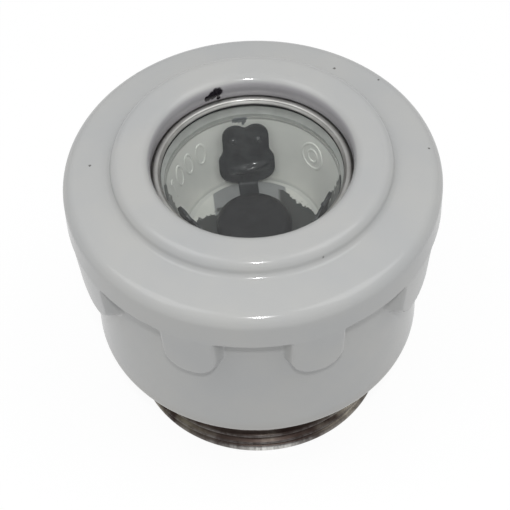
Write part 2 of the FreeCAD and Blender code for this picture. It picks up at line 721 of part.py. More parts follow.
def make_return_spring():
    body = new_body("return_spring")
    sketch = new_sketch(body, "XZ_Plane")
    wire_radius = "spring_wire / 2"
    draw_circle(sketch, SPRING_RADIUS, f"{DISC_TOP} + spring_seat_gap + {wire_radius}", wire_radius)
    length = f"({SPRING_LENGTH} - spring_wire - 2 * spring_seat_gap)"
    add_helix(body, sketch, f"{length} / spring_turns", length)
    return body


def make_thread_shell():
    """A sheet cup: top plate, sleeve, rolled rim and a raised thread of rounded section."""
    body = new_body("thread_shell")
    inner = "shell_radius - shell_wall"
    turn(body, [
        (inner, "hem_radius"),
        ("shell_radius", "hem_radius"),
        ("shell_radius", SHELL_TOP),
        (BUSH_HOLE, SHELL_TOP),
        (BUSH_HOLE, PLATE_BOTTOM),
        (inner, PLATE_BOTTOM),
    ])
    rim = new_sketch(body, "XZ_Plane")
    draw_circle(rim, f"{THREAD_CREST} - hem_radius", "hem_radius", "hem_radius")
    bead = body.newObject("PartDesign::Revolution", "thread_shell_rim")
    bead.Profile = rim
    bead.ReferenceAxis = (rim, ["V_Axis"])
    bead.Angle = 360
    doc.recompute()
    hole = drill(body, SHELL_TOP, SCREW_HOLE, "screw_circle")
    pattern(body, [hole], "screw_count")
    add_thread(body)
    return body


def add_thread(body):
    sketch = new_sketch(body, "XZ_Plane")
    inside = "shell_radius - thread_root"
    middle = "thread_start + thread_pitch / 2"
    foot = "thread_foot * thread_pitch / 2"
    crest = "thread_crest * thread_pitch / 2"
    draw_outline(sketch, [
        (inside, f"{middle} - {foot}"),
        (THREAD_CREST, f"{middle} - {crest}"),
        (THREAD_CREST, f"{middle} + {crest}"),
        (inside, f"{middle} + {foot}"),
    ])
    add_helix(body, sketch, "thread_pitch", f"{SHELL_TOP} - thread_start - thread_run_out")


def make_shell_gasket():
    body = ring("shell_gasket", BUSH_HOLE, "shell_radius", SHELL_TOP, WEB_BOTTOM)
    hole = drill(body, WEB_BOTTOM, SCREW_HOLE, "screw_circle")
    pattern(body, [hole], "screw_count")
    return body


def make_cement_ring():
    bottom = f"{BODY_BOTTOM} + cement_recess"
    inner = f"{THREAD_CREST} + cement_gap"
    outer = f"{CAVITY} - fixed_clearance"
    return ring("cement_ring", inner, outer, bottom, f"{bottom} + cement_height")


def group(label, make_one):
    """One node of separate solids: one piece for each fixing screw, round the screw circle."""
    count = int(number("screw_count"))
    members = []
    for index in range(count):
        angle = f"360 / screw_count * {index}"
        across = f"screw_circle * cos({angle})"
        along = f"screw_circle * sin({angle})"
        members.append(make_one(f"{label}_{index}", across, along))
    item = doc.addObject("Part::Compound", label)
    item.Label = label
    item.Links = members
    return item


def make_screw(name, across, along):
    head_bottom = f"({WASHER_BOTTOM} - screw_head_height)"
    shank_top = f"({WEB_TOP} - nut_cover)"
    head = post(f"{name}_head", SCREW_HEAD_RADIUS, "screw_head_height", across, along, head_bottom)
    shank = post(f"{name}_shank", "screw_radius", f"{shank_top} - {WASHER_BOTTOM}",
                 across, along, WASHER_BOTTOM)
    blank = fuse(f"{name}_blank", [head, shank])
    slot = box(f"{name}_slot", f"2 * {SCREW_HEAD_RADIUS}", "screw_slot_width", "screw_slot_depth",
               f"{across} - {SCREW_HEAD_RADIUS}", f"{along} - screw_slot_width / 2", head_bottom)
    screw = doc.addObject("Part::Cut", name)
    screw.Base = blank
    screw.Tool = slot
    return screw


def make_screw_washer(name, across, along):
    radius = "screw_radius + screw_washer_lip"
    disc = post(f"{name}_disc", radius, "screw_washer_thickness", across, along, WASHER_BOTTOM)
    hole = post(f"{name}_hole", SCREW_HOLE, "screw_washer_thickness", across, along, WASHER_BOTTOM)
    washer = doc.addObject("Part::Cut", name)
    washer.Base = disc
    washer.Tool = hole
    return washer


def make_fixing_nut(name, across, along):
    bore = "screw_radius + fixed_clearance"
    return nut(name, NUT_WIDTH, "nut_thickness", bore, f"{WEB_TOP} - {NUT_POCKET}", across, along)


def turn_with_cap(item):
    """Turn a piece with the ceramic, so that their screw holes stay in line."""
    item.Placement = FreeCAD.Placement(
        FreeCAD.Vector(), FreeCAD.Rotation(FreeCAD.Vector(0, 0, 1), number("cap_turn")))
    bind(item, Placement__Rotation__Angle="cap_turn")


def make_parts():
    turned_with_cap = [
        make_ceramic_cap(),
        make_thread_shell(),
        make_shell_gasket(),
        group("fixing_screws", make_screw),
        group("screw_washers", make_screw_washer),
        group("fixing_nuts", make_fixing_nut),
    ]
    for item in turned_with_cap:
        turn_with_cap(item)
    return turned_with_cap + [
        make_bezel_ring(),
        make_bezel_gasket(),
        make_window_glass(),
        make_seat_gasket(),
        make_dial_bowl(),
        make_floor_washer(),
        make_claw_spring(),
        make_guide_bush(),
        make_bush_washer(),
        make_bush_nut(),
        make_indicator_button(),
        make_contact_stem(),
        make_contact_disc(),
        make_lock_nut(),
        make_return_spring(),
        make_cement_ring(),
    ]


def check_document():
    for item in doc.Objects:
        if "Invalid" in item.State or "Error" in item.State:
            raise RuntimeError(f"{item.Name} failed: {item.State}")


def write_parts(parts):
    os.makedirs("parts", exist_ok=True)
    for item in parts:
        if item.Shape.isNull() or not item.Shape.isValid():
            raise RuntimeError(f"{item.Label} has no valid shape")
    for item in parts:
        item.Shape.exportStep(f"parts/{item.Label}.step")
        print(item.Label, len(item.Shape.Solids), "solids,", round(item.Shape.Volume, 1), "mm3")


fill_sheet()
parts = make_parts()
doc.recompute()
check_document()
write_parts(parts)
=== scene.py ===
import math

import bmesh
import bpy
from mathutils import Matrix, Vector


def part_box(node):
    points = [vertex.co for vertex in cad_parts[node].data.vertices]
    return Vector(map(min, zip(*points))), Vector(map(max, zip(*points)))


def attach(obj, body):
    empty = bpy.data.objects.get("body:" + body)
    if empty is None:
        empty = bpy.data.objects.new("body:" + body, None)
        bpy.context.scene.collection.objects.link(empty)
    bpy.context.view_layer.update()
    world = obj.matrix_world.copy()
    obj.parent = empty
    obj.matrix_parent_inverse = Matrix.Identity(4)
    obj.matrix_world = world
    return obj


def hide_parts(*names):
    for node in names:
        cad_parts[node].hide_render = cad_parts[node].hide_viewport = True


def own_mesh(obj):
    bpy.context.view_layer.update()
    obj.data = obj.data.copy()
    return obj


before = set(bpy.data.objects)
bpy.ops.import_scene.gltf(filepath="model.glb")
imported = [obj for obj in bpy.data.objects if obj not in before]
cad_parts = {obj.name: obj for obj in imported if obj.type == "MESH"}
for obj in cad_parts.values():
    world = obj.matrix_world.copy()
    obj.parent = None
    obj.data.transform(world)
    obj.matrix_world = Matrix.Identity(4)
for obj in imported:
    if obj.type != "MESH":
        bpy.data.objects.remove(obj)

# A screw-in sight glass: the finish of every piece, and the shapes that need more than the frame's.
# Metres, +Z up, -Y to the front. Sizes are in millimetres times MM where they are written here.
MM = 0.001
TURN = 2 * math.pi
JOIN_DISTANCE = 0.001 * MM
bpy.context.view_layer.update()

CAP_LOW, CAP_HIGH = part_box("ceramic_cap")
RING_LOW, RING_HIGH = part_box("bezel_ring")
GLASS_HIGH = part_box("window_glass")[1]
BOWL_LOW, BOWL_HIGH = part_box("dial_bowl")
PLATE_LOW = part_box("floor_washer")[0]
CLAW_LOW, CLAW_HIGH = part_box("claw_spring")
BUTTON_LOW, BUTTON_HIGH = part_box("indicator_button")
SHELL_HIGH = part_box("thread_shell")[1]
SPRING_LOW, SPRING_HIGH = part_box("return_spring")


# ---------- small tools ----------

def smooth(value):
    """0 below 0, 1 above 1, with a soft start and end."""
    value = min(max(value, 0.0), 1.0)
    return value * value * (3 - 2 * value)


def mix(low, high, share):
    return low + (high - low) * share


def arc(radius, height, size, start, end, steps):
    """Points of an arc in radius and height about a centre, angles in degrees."""
    points = []
    for step in range(steps + 1):
        angle = math.radians(mix(start, end, step / steps))
        points.append((radius + size * math.cos(angle), height + size * math.sin(angle)))
    return points


def between(start, end, steps):
    """Points along a line, without its two ends."""
    return [
        (mix(start[0], end[0], step / steps), mix(start[1], end[1], step / steps))
        for step in range(1, steps)
    ]


def new_object(name, mesh, material, body, slot, *nodes):
    """A finished piece: smooth faces, its material, the body it rides on and the nodes it stands for."""
    piece = bpy.data.objects.new(name, mesh)
    bpy.context.scene.collection.objects.link(piece)
    mesh.polygons.foreach_set("use_smooth", [True] * len(mesh.polygons))
    mesh.materials.append(material)
    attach(piece, body)
    if nodes:
        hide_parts(*nodes)
    return piece


def grid_mesh(name, rows, closed_rows):
    """A mesh from rows of points, each row a closed ring; closed_rows joins the last row to the first."""
    width = len(rows[0])
    points = [point for row in rows for point in row]
    faces = []
    for lower in range(len(rows) if closed_rows else len(rows) - 1):
        upper = (lower + 1) % len(rows)
        for column in range(width):
            after = (column + 1) % width
            faces.append((
                lower * width + column,
                lower * width + after,
                upper * width + after,
                upper * width + column,
            ))
    mesh = bpy.data.meshes.new(name)
    mesh.from_pydata(points, [], faces)
    return mesh


def merge_points(mesh):
    """Join the points of a mesh that lie in one place."""
    work = bmesh.new()
    work.from_mesh(mesh)
    bmesh.ops.remove_doubles(work, verts=work.verts, dist=JOIN_DISTANCE)
    work.to_mesh(mesh)
    work.free()


def lathe(name, outline, columns, closed=True):
    """An outline in radius and height, turned about the axis. It runs anticlockwise."""
    angles = [TURN * column / columns for column in range(columns)]
    rows = [
        [(radius * math.cos(angle), radius * math.sin(angle), height) for angle in angles]
        for radius, height in outline
    ]
    mesh = grid_mesh(name, rows, closed)
    merge_points(mesh)
    return mesh


# ---------- materials ----------

def new_material(name):
    """A material with its Principled shader and a helper that adds linked nodes."""
    material = bpy.data.materials.new(name)
    material.use_nodes = True
    tree = material.node_tree
    return material, tree, tree.nodes["Principled BSDF"]


def add(tree, kind, inputs=(), **settings):
    """A node; inputs gives, for a socket's name or number, a value or the socket to link from."""
    node = tree.nodes.new(kind)
    for name, value in settings.items():
        setattr(node, name, value)
    for socket, value in dict(inputs).items():
        if isinstance(value, bpy.types.NodeSocket):
            tree.links.new(value, node.inputs[socket])
        else:
            node.inputs[socket].default_value = value
    return node


def object_place(tree):
    """Object coordinates, which here are places on the part, in metres."""
    return add(tree, "ShaderNodeTexCoord").outputs["Object"]


def noise(tree, place, size, detail=2.0, roughness=0.5):
    """Noise with features of about a size, from 0 to 1."""
    node = add(tree, "ShaderNodeTexNoise", {
        "Vector": place, "Scale": 1 / size, "Detail": detail, "Roughness": roughness})
    return node.outputs["Fac"]


def ramp(tree, factor, stops):
    """A colour or grey ramp; stops are (place, value), each value a grey or a colour."""
    node = add(tree, "ShaderNodeValToRGB", {"Fac": factor})
    elements = node.color_ramp.elements
    while len(elements) < len(stops):
        elements.new(0.5)
    for element, (place, value) in zip(elements, stops):
        element.position = place
        colour = (value, value, value) if isinstance(value, float) else value
        element.color = (*colour, 1.0)
    return node.outputs["Color"]


def map_range(tree, value, low, high, out_low=0.0, out_high=1.0):
    node = add(tree, "ShaderNodeMapRange", {
        "Value": value, "From Min": low, "From Max": high, "To Min": out_low, "To Max": out_high})
    return node.outputs["Result"]


def blend_colours(tree, factor, first, second, kind="MIX"):
    node = tree.nodes.new("ShaderNodeMix")
    node.data_type = "RGBA"
    node.blend_type = kind
    for socket, value in ((0, factor), (6, first), (7, second)):
        if isinstance(value, bpy.types.NodeSocket):
            tree.links.new(value, node.inputs[socket])
        elif socket == 0:
            node.inputs[0].default_value = value
        else:
            node.inputs[socket].default_value = (*value, 1.0)
    return node.outputs[2]


def maths(tree, operation, first, second=0.0):
    return add(tree, "ShaderNodeMath", {0: first, 1: second}, operation=operation).outputs[0]


def bump(tree, shader, height, strength, distance):
    node = add(tree, "ShaderNodeBump", {"Height": height, "Strength": strength, "Distance": distance})
    tree.links.new(node.outputs["Normal"], shader.inputs["Normal"])
    return node


def axis_distance(tree, place):
    """Distance from the part's axis."""
    flat = add(tree, "ShaderNodeVectorMath", {0: place, 1: (1.0, 1.0, 0.0)}, operation="MULTIPLY")
    return add(tree, "ShaderNodeVectorMath", {0: flat.outputs[0]}, operation="LENGTH").outputs["Value"]


def height_of(tree, place):
    return add(tree, "ShaderNodeSeparateXYZ", {"Vector": place}).outputs["Z"]


def spot(tree, place, centre, size, ragged):
    """1 inside a ragged spot of a size about a point, 0 outside."""
    away = add(tree, "ShaderNodeVectorMath", {0: place, 1: centre}, operation="DISTANCE").outputs["Value"]
    rough = map_range(tree, noise(tree, place, 0.7 * size), 0.3, 0.7, -ragged * size / 2, ragged * size / 2)
    return map_range(tree, maths(tree, "ADD", away, rough), size * 1.15, size * 0.85)


# Dark specks in the glaze: angle from the front towards +X, radius, height, size.
SPECKS = [
    (146.0, 28.6, 55.7, 0.26),
    (-141.0, 33.0, 54.6, 0.22),
    (131.0, 31.8, 55.0, 0.24),
    (96.0, 32.0, 55.1, 0.22),
    (-94.0, 29.0, 55.6, 0.24),
    (27.0, 25.0, 57.2, 0.28),
    (50.0, 33.2, 53.4, 0.22),
]
# The black blemish on the wall of the bore: angle, radius, height, size of each part of it.
BLEMISH = [
    (-161.4, 18.2, 57.3, 1.00),
    (-158.4, 18.2, 56.9, 0.95),
    (-155.2, 18.2, 56.6, 0.72),
    (-161.8, 18.1, 55.9, 0.42),
]


def around(angle, radius, height):
    """A point at an angle in degrees from the front towards +X."""
    turn = math.radians(angle)
    return Vector((radius * math.sin(turn), -radius * math.cos(turn), height))


# Heights on the body between which the glaze turns a little yellow.
YELLOW_TOP = 20 * MM
YELLOW_LOW = 15.5 * MM
# How far out from the bore's radius the painted shade on its wall ends and starts.
BORE_SHADE_END = 0.55 * MM
BORE_SHADE_START = 0.2 * MM


def make_glaze():
    """White glaze on fired clay: glossy, faintly uneven, with painted shade on the wall of the bore and rare
    dark specks.
    """
    material, tree, shader = new_material("glaze")
    place = object_place(tree)
    cloud = noise(tree, place, 14 * MM, 3.0)
    base = ramp(tree, cloud, [(0.35, (0.538, 0.544, 0.542)), (0.65, (0.568, 0.568, 0.554))])
    low = map_range(tree, height_of(tree, place), YELLOW_TOP, YELLOW_LOW)
    base = blend_colours(tree, maths(tree, "MULTIPLY", low, 0.6), base, (0.50, 0.48, 0.43))
    away = axis_distance(tree, place)
    bore_shade = map_range(tree, away, BORE_RADIUS + BORE_SHADE_END, BORE_RADIUS + BORE_SHADE_START)
    above = map_range(tree, height_of(tree, place), WEB_TOP, LEDGE)
    # Painted shade: the wall of the bore is greyed, fading out below the ledge.
    base = blend_colours(tree, maths(tree, "MULTIPLY", bore_shade, above), base, (0.41, 0.40, 0.415))
    for spots, ragged, strength, colour in (
            (SPECKS, 0.7, 0.75, (0.05, 0.045, 0.04)), (BLEMISH, 0.22, 1.0, (0.012, 0.009, 0.014))):
        mask = 0.0
        for angle, radius, height, size in spots:
            dot = spot(tree, place, around(angle, radius * MM, height * MM), size * MM, ragged)
            mask = maths(tree, "MAXIMUM", dot, mask)
        base = blend_colours(tree, maths(tree, "MULTIPLY", mask, strength), base, colour)
    tree.links.new(base, shader.inputs["Base Color"])
    wave = noise(tree, place, 5 * MM, 1.0)
    pore = noise(tree, place, 0.7 * MM, 1.0)
    height = maths(tree, "ADD", wave, maths(tree, "MULTIPLY", pore, 0.04))
    bump(tree, shader, height, 0.35, 0.12 * MM)
    rough = map_range(tree, noise(tree, place, 9 * MM), 0.3, 0.7, 0.10, 0.17)
    tree.links.new(rough, shader.inputs["Roughness"])
    shader.inputs["IOR"].default_value = 1.52
    return material


def make_metal(name, colour, tarnish, roughness, grain_size, cut=0.35):
    """Plated or turned metal: its colour clouds towards tarnish and fine rings roughen it."""
    material, tree, shader = new_material(name)
    place = object_place(tree)
    cloud = noise(tree, place, 4 * MM, 3.0, 0.6)
    base = blend_colours(tree, ramp(tree, cloud, [(cut, 0.0), (cut + 0.35, 1.0)]), colour, tarnish)
    tree.links.new(base, shader.inputs["Base Color"])
    stretch = add(tree, "ShaderNodeVectorMath", {0: place, 1: (1.0, 1.0, 5.0)}, operation="MULTIPLY")
    grain = noise(tree, stretch.outputs[0], grain_size, 3.0)
    rough = map_range(tree, grain, 0.25, 0.75, 0.7 * roughness, 1.4 * roughness)
    tree.links.new(rough, shader.inputs["Roughness"])
    bump(tree, shader, grain, 0.25, 0.03 * MM)
    shader.inputs["Metallic"].default_value = 1.0
    return material


# How far in from the crests their wear starts and is full, and where the rim's band of wear and painted
# reflection ends and starts.
WEAR_DEPTH = 0.35 * MM
WEAR_FULL = 0.02 * MM
RIM_WEAR_AND_REFLECTION_END = 1.75 * MM
RIM_WEAR_AND_REFLECTION_START = 1.45 * MM
# The painted reflection on the front of the rim, which also strengthens the rim's wear there: its angle, its
# height, and where it ends and is full.
FRONT_REFLECTION_ANGLE = 2.5
FRONT_REFLECTION_HEIGHT = 0.9 * MM
FRONT_REFLECTION_END = 10.0 * MM
FRONT_REFLECTION_FULL = 2.5 * MM
# Tints of the grime at the right and left: where each starts and is full, across, and its colour.
SIDE_TINTS = [
    (9 * MM, 19 * MM, (0.46, 0.42, 0.35)),
    (-9 * MM, -19 * MM, (0.22, 0.20, 0.15)),
]


def make_shell_nickel():
    """Dulled nickel: worn bright on the crests and along the rim, with a painted reflection on the front of
    the rim, brown with grime between them.
    """
    material, tree, shader = new_material("nickel")
    place = object_place(tree)
    rise = map_range(tree, axis_distance(tree, place), CREST_RADIUS - WEAR_DEPTH, CREST_RADIUS - WEAR_FULL)
    rim = map_range(tree, height_of(tree, place), RIM_WEAR_AND_REFLECTION_END, RIM_WEAR_AND_REFLECTION_START)
    upright = add(tree, "ShaderNodeVectorMath", {0: place, 1: (1.0, 1.0, 0.12)}, operation="MULTIPLY")
    streak = noise(tree, upright.outputs[0], 1.1 * MM, 5.0, 0.65)
    patch = noise(tree, place, 5 * MM, 3.0)
    crest = maths(tree, "MULTIPLY", rise, map_range(tree, patch, 0.3, 0.6, 0.12, 0.6))
    # Painted reflection: a patch on the front of the rim that brightens the rim's worn streaks near it.
    from_reflection = add(tree, "ShaderNodeVectorMath", {
        0: place, 1: around(FRONT_REFLECTION_ANGLE, CREST_RADIUS, FRONT_REFLECTION_HEIGHT)}, operation="DISTANCE").outputs["Value"]
    painted_reflection = map_range(tree, from_reflection, FRONT_REFLECTION_END, FRONT_REFLECTION_FULL)
    reflection_on_lip = map_range(tree, painted_reflection, 0.0, 1.0, 0.3, 1.0)
    lip = maths(tree, "MULTIPLY", rim, map_range(tree, streak, 0.36, 0.58, 0.35, 1.0))
    lip = maths(tree, "MULTIPLY", lip, reflection_on_lip)
    wear_and_reflection = maths(tree, "MAXIMUM", crest, lip)
    grime = ramp(tree, patch, [
        (0.35, (0.040, 0.027, 0.023)),
        (0.55, (0.062, 0.047, 0.041)),
        (0.7, (0.12, 0.105, 0.09)),
    ])
    metal = ramp(tree, streak, [(0.35, (0.10, 0.085, 0.078)), (0.6, (0.34, 0.32, 0.31))])
    # Painted reflection: the rim's metal turns near white at the front.
    metal = blend_colours(tree, maths(tree, "MULTIPLY", painted_reflection, rim), metal, (0.88, 0.87, 0.84))
    across = add(tree, "ShaderNodeSeparateXYZ", {"Vector": place}).outputs["X"]
    for start, full, tint in SIDE_TINTS:
        mottled = map_range(tree, patch, 0.35, 0.6)
        side = maths(tree, "MULTIPLY", map_range(tree, across, start, full), mottled)
        grime = blend_colours(tree, side, grime, tint)
    tree.links.new(blend_colours(tree, wear_and_reflection, grime, metal), shader.inputs["Base Color"])
    tree.links.new(map_range(tree, wear_and_reflection, 0.0, 1.0, 0.40, 0.27), shader.inputs["Roughness"])
    bump(tree, shader, streak, 0.35, 0.05 * MM)
    shader.inputs["Metallic"].default_value = 1.0
    return material


def make_moulded(name, dark, light, roughness, cloud_size, grain_size, depth):
    """Plastic, rubber, fibre or paint: two close colours in clouds, with a fine grain."""
    material, tree, shader = new_material(name)
    place = object_place(tree)
    base = ramp(tree, noise(tree, place, cloud_size, 3.0), [(0.35, dark), (0.65, light)])
    tree.links.new(base, shader.inputs["Base Color"])
    grain = noise(tree, place, grain_size, 3.0)
    rough = map_range(tree, grain, 0.3, 0.7, 0.8 * roughness, 1.25 * roughness)
    tree.links.new(rough, shader.inputs["Roughness"])
    bump(tree, shader, grain, 0.4, depth)
    return material


# Dark patches in the front of the bowl: which side, and the line in plan that its ragged edge follows,
# as the share of x added to y and how far the sum reaches.
DARK_PATCH_EDGES = [(1, 0.85, 13.5 * MM), (-1, -0.55, 8.6 * MM)]
DARK_PATCH_COLOUR = (0.045, 0.048, 0.046)
DARK_PATCH_RAGGED = 1.2 * MM
DARK_PATCH_SHARP = 0.3 * MM
DARK_PATCH_START = 4.6 * MM
DARK_PATCH_FULL = 5.2 * MM


def front_dark_patches(tree, place):
    """1 where the front of the bowl is darkened, to the left and right of the middle."""
    uneven = noise(tree, place, 2.5 * MM, 4.0, 0.6)
    rough = map_range(tree, uneven, 0.3, 0.7, -DARK_PATCH_RAGGED, DARK_PATCH_RAGGED)
    across = add(tree, "ShaderNodeSeparateXYZ", {"Vector": place}).outputs["X"]
    patches = 0.0
    for side, slope, reach in DARK_PATCH_EDGES:
        along = add(tree, "ShaderNodeVectorMath", {
            0: place, 1: (slope, 1.0, 0.0)}, operation="DOT_PRODUCT").outputs["Value"]
        ahead = map_range(tree, maths(tree, "ADD", along, rough), reach, reach - DARK_PATCH_SHARP)
        beside = map_range(tree, across, side * DARK_PATCH_START, side * DARK_PATCH_FULL)
        patches = maths(tree, "MAXIMUM", maths(tree, "MULTIPLY", ahead, beside), patches)
    return patches


# Painted shade: how deep it runs down from the liner's rim and up from its floor, and where it is full; the
# dark spot over the back claw.
RIM_SHADE_DEPTH = 0.45 * MM
CORNER_SHADE_HEIGHT = 0.9 * MM
SHADE_EDGE = 0.1 * MM
DARK_SPOT_PLACE = around(-172.5, 15.7 * MM, 50.9 * MM)
DARK_SPOT_SIZE = 1.5 * MM


def make_liner():
    """Pale moulded liner: painted shade at its rim and in its corner, dark patches in front, and a dark spot
    over the back claw.
    """
    material, tree, shader = new_material("liner")
    place = object_place(tree)
    cloud = noise(tree, place, 6 * MM, 3.0)
    base = ramp(tree, cloud, [(0.35, (0.80, 0.805, 0.77)), (0.65, (0.87, 0.87, 0.83))])
    height = height_of(tree, place)
    # Painted shade: darker at the top of the rim and in the corner at the floor.
    rim = map_range(tree, height, BOWL_HIGH.z - RIM_SHADE_DEPTH, BOWL_HIGH.z - SHADE_EDGE, 0.0, 0.75)
    corner_shade = map_range(tree, height, PLATE_LOW.z + CORNER_SHADE_HEIGHT, PLATE_LOW.z + SHADE_EDGE, 0.0, 0.35)
    dark_spot = spot(tree, place, DARK_SPOT_PLACE, DARK_SPOT_SIZE, 1.0)
    marks = [
        (rim, (0.20, 0.20, 0.19)),
        (corner_shade, (0.17, 0.18, 0.18)),
        (dark_spot, (0.16, 0.17, 0.18)),
        (front_dark_patches(tree, place), DARK_PATCH_COLOUR),
    ]
    for mask, colour in marks:
        base = blend_colours(tree, mask, base, colour)
    tree.links.new(base, shader.inputs["Base Color"])
    grain = noise(tree, place, 1.2 * MM, 3.0)
    tree.links.new(map_range(tree, grain, 0.3, 0.7, 0.28, 0.4), shader.inputs["Roughness"])
    bump(tree, shader, grain, 0.4, 0.03 * MM)
    return material


# Half the width of the grey strip along each claw, and how soft its sides and its start are.
STRIP_HALF = 6.95 * MM
STRIP_SOFT = 0.25 * MM
STRIP_START = 0.3 * MM


def make_plate():
    """The liner's floor plate: grey along each claw's neck and painted pale between them."""
    material, tree, shader = new_material("floor_plate")
    place = object_place(tree)
    grey = 0.0
    for index in range(CLAW_COUNT):
        turn = math.radians(CLAW_TURN + 360 / CLAW_COUNT * index)
        along = add(tree, "ShaderNodeVectorMath", {
            0: place, 1: (math.sin(turn), math.cos(turn), 0.0)}, operation="DOT_PRODUCT").outputs["Value"]
        across = add(tree, "ShaderNodeVectorMath", {
            0: place, 1: (math.cos(turn), -math.sin(turn), 0.0)}, operation="DOT_PRODUCT").outputs["Value"]
        beside = map_range(tree, maths(tree, "ABSOLUTE", across), STRIP_HALF, STRIP_HALF - STRIP_SOFT)
        strip = maths(tree, "MULTIPLY", beside, map_range(tree, along, 0.0, STRIP_START))
        grey = maths(tree, "MAXIMUM", strip, grey)
    cloud = noise(tree, place, 4 * MM, 3.0)
    pale = ramp(tree, cloud, [(0.35, (0.64, 0.645, 0.61)), (0.65, (0.72, 0.72, 0.68))])
    dull = ramp(tree, cloud, [(0.35, (0.255, 0.262, 0.264)), (0.65, (0.295, 0.303, 0.305))])
    clean = blend_colours(tree, grey, pale, dull)
    base = blend_colours(tree, front_dark_patches(tree, place), clean, DARK_PATCH_COLOUR)
    tree.links.new(base, shader.inputs["Base Color"])
    grain = noise(tree, place, 0.4 * MM, 3.0)
    tree.links.new(map_range(tree, grain, 0.3, 0.7, 0.35, 0.5), shader.inputs["Roughness"])
    bump(tree, shader, grain, 0.3, 0.02 * MM)
    return material


def make_glass():
    """Clear window glass that lets the lamps light what is behind it."""
    material, tree, shader = new_material("glass")
    place = object_place(tree)
    cloud = noise(tree, place, 9 * MM)
    tint = ramp(tree, cloud, [(0.3, (0.955, 0.97, 0.96)), (0.7, (0.975, 0.98, 0.975))])
    tree.links.new(tint, shader.inputs["Base Color"])
    shader.inputs["Transmission Weight"].default_value = 1.0
    shader.inputs["Roughness"].default_value = 0.0
    shader.inputs["IOR"].default_value = 1.5
    path = add(tree, "ShaderNodeLightPath")
    through = maths(tree, "MAXIMUM", path.outputs["Is Shadow Ray"], path.outputs["Is Diffuse Ray"])
    clear = add(tree, "ShaderNodeBsdfTransparent", {"Color": (0.955, 0.965, 0.955, 1.0)})
    mixer = add(tree, "ShaderNodeMixShader", {0: through, 1: shader.outputs[0], 2: clear.outputs[0]})
    tree.links.new(mixer.outputs[0], tree.nodes["Material Output"].inputs["Surface"])
    return material


# ---------- the glazed cap ----------

LUG_COUNT = 9
LUG_TURN = 18.0
LUG_WIDTH = 10.6 * MM
LUG_BOTTOM = 36.4 * MM
LUG_ROUND = 4.8 * MM
LUG_DRAFT = 1.0 * MM
LUG_EDGE = 1.9 * MM
FLANGE_EDGE = 1.0 * MM
FLANGE_RADIUS = CAP_HIGH.x
FLANGE_BOTTOM = 47.5 * MM
FLANGE_RIM = 54.7 * MM
FLANGE_SLOPE = 10.3
FLANGE_ROUND = 2.7 * MM
CROWN_RADIUS = 25.2 * MM
CROWN_ROUND = 1.95 * MM
CROWN_ROOT_ROUND = 1.1 * MM
CROWN_TOP = CAP_HIGH.z
MOUTH_ROUND = 2.0 * MM
BORE_RADIUS = 18.1 * MM
BODY_RADIUS = 30.3 * MM
BODY_BOTTOM = CAP_LOW.z
BODY_ROUND = 2.4 * MM
CAVITY_RADIUS = 25.2 * MM
WEB_TOP = BOWL_LOW.z
WEB_BOTTOM = 29.7 * MM
LEDGE = 49.7 * MM
BOWL_HOLE_TOP = 17.1 * MM
BOWL_HOLE_BOTTOM = 14.2 * MM
BUSH_HOLE = 4.2 * MM
# The share of its width by which each soft edge lies outside the outline it follows.
LUG_BLEND = 0.61
FLANGE_BLEND = 0.75
# Lengths that place the mesh's rows and columns.
LUG_TOP_MARGIN = 0.6 * MM
LUG_SIDE_START = 3.4 * MM
LUG_SIDE_END = 7.2 * MM
EDGE_BAND = 1.2 * MM
FACE_MARGIN = 0.7 * MM
SEAM = 0.02 * MM
RIM_TOP = RING_LOW.z + 0.45 * MM
BEAD_INNER = 16.75 * MM
BEAD_WIDTH = 1.0 * MM


def lug_columns():
    """Angles of the mesh's columns, close together at the lugs' sides."""
    period = TURN / LUG_COUNT
    half = period / 2 * FLANGE_RADIUS
    stretches = [
        (0.0, LUG_SIDE_START, 10),
        (LUG_SIDE_START, LUG_SIDE_END, 14),
        (LUG_SIDE_END, half, 6),
    ]
    offsets = []
    for start, end, steps in stretches:
        offsets += [mix(start, end, step / steps) for step in range(steps)]
    side = [offset / FLANGE_RADIUS for offset in offsets]
    one = side + [period / 2] + [period - angle for angle in reversed(side[1:])]
    return [index * period + angle for index in range(LUG_COUNT) for angle in one]


def lug_share(angle, height):
    """How far the surface stands out at a place: 1 on the flange's edge and lugs, 0 on the body."""
    period = TURN / LUG_COUNT
    nearest = (angle + period / 2) % period - period / 2
    across = abs(nearest) * FLANGE_RADIUS - (LUG_WIDTH / 2 - LUG_ROUND)
    below = LUG_BOTTOM + LUG_ROUND - height
    lug = math.hypot(max(across, 0.0), max(below, 0.0)) + min(max(across, below), 0.0) - LUG_ROUND
    below_flange = FLANGE_BOTTOM - height
    off_lug = 1 - smooth(LUG_BLEND - lug / LUG_EDGE)
    off_flange = 1 - smooth(FLANGE_BLEND - below_flange / FLANGE_EDGE)
    return 1 - off_lug * off_flange


def face_radius(height):
    """Radius of the flange's edge, or of the lugs' drafted faces below it."""
    drop = max(FLANGE_BOTTOM - height, 0.0) / (FLANGE_BOTTOM - LUG_BOTTOM)
    return FLANGE_RADIUS - LUG_DRAFT * drop


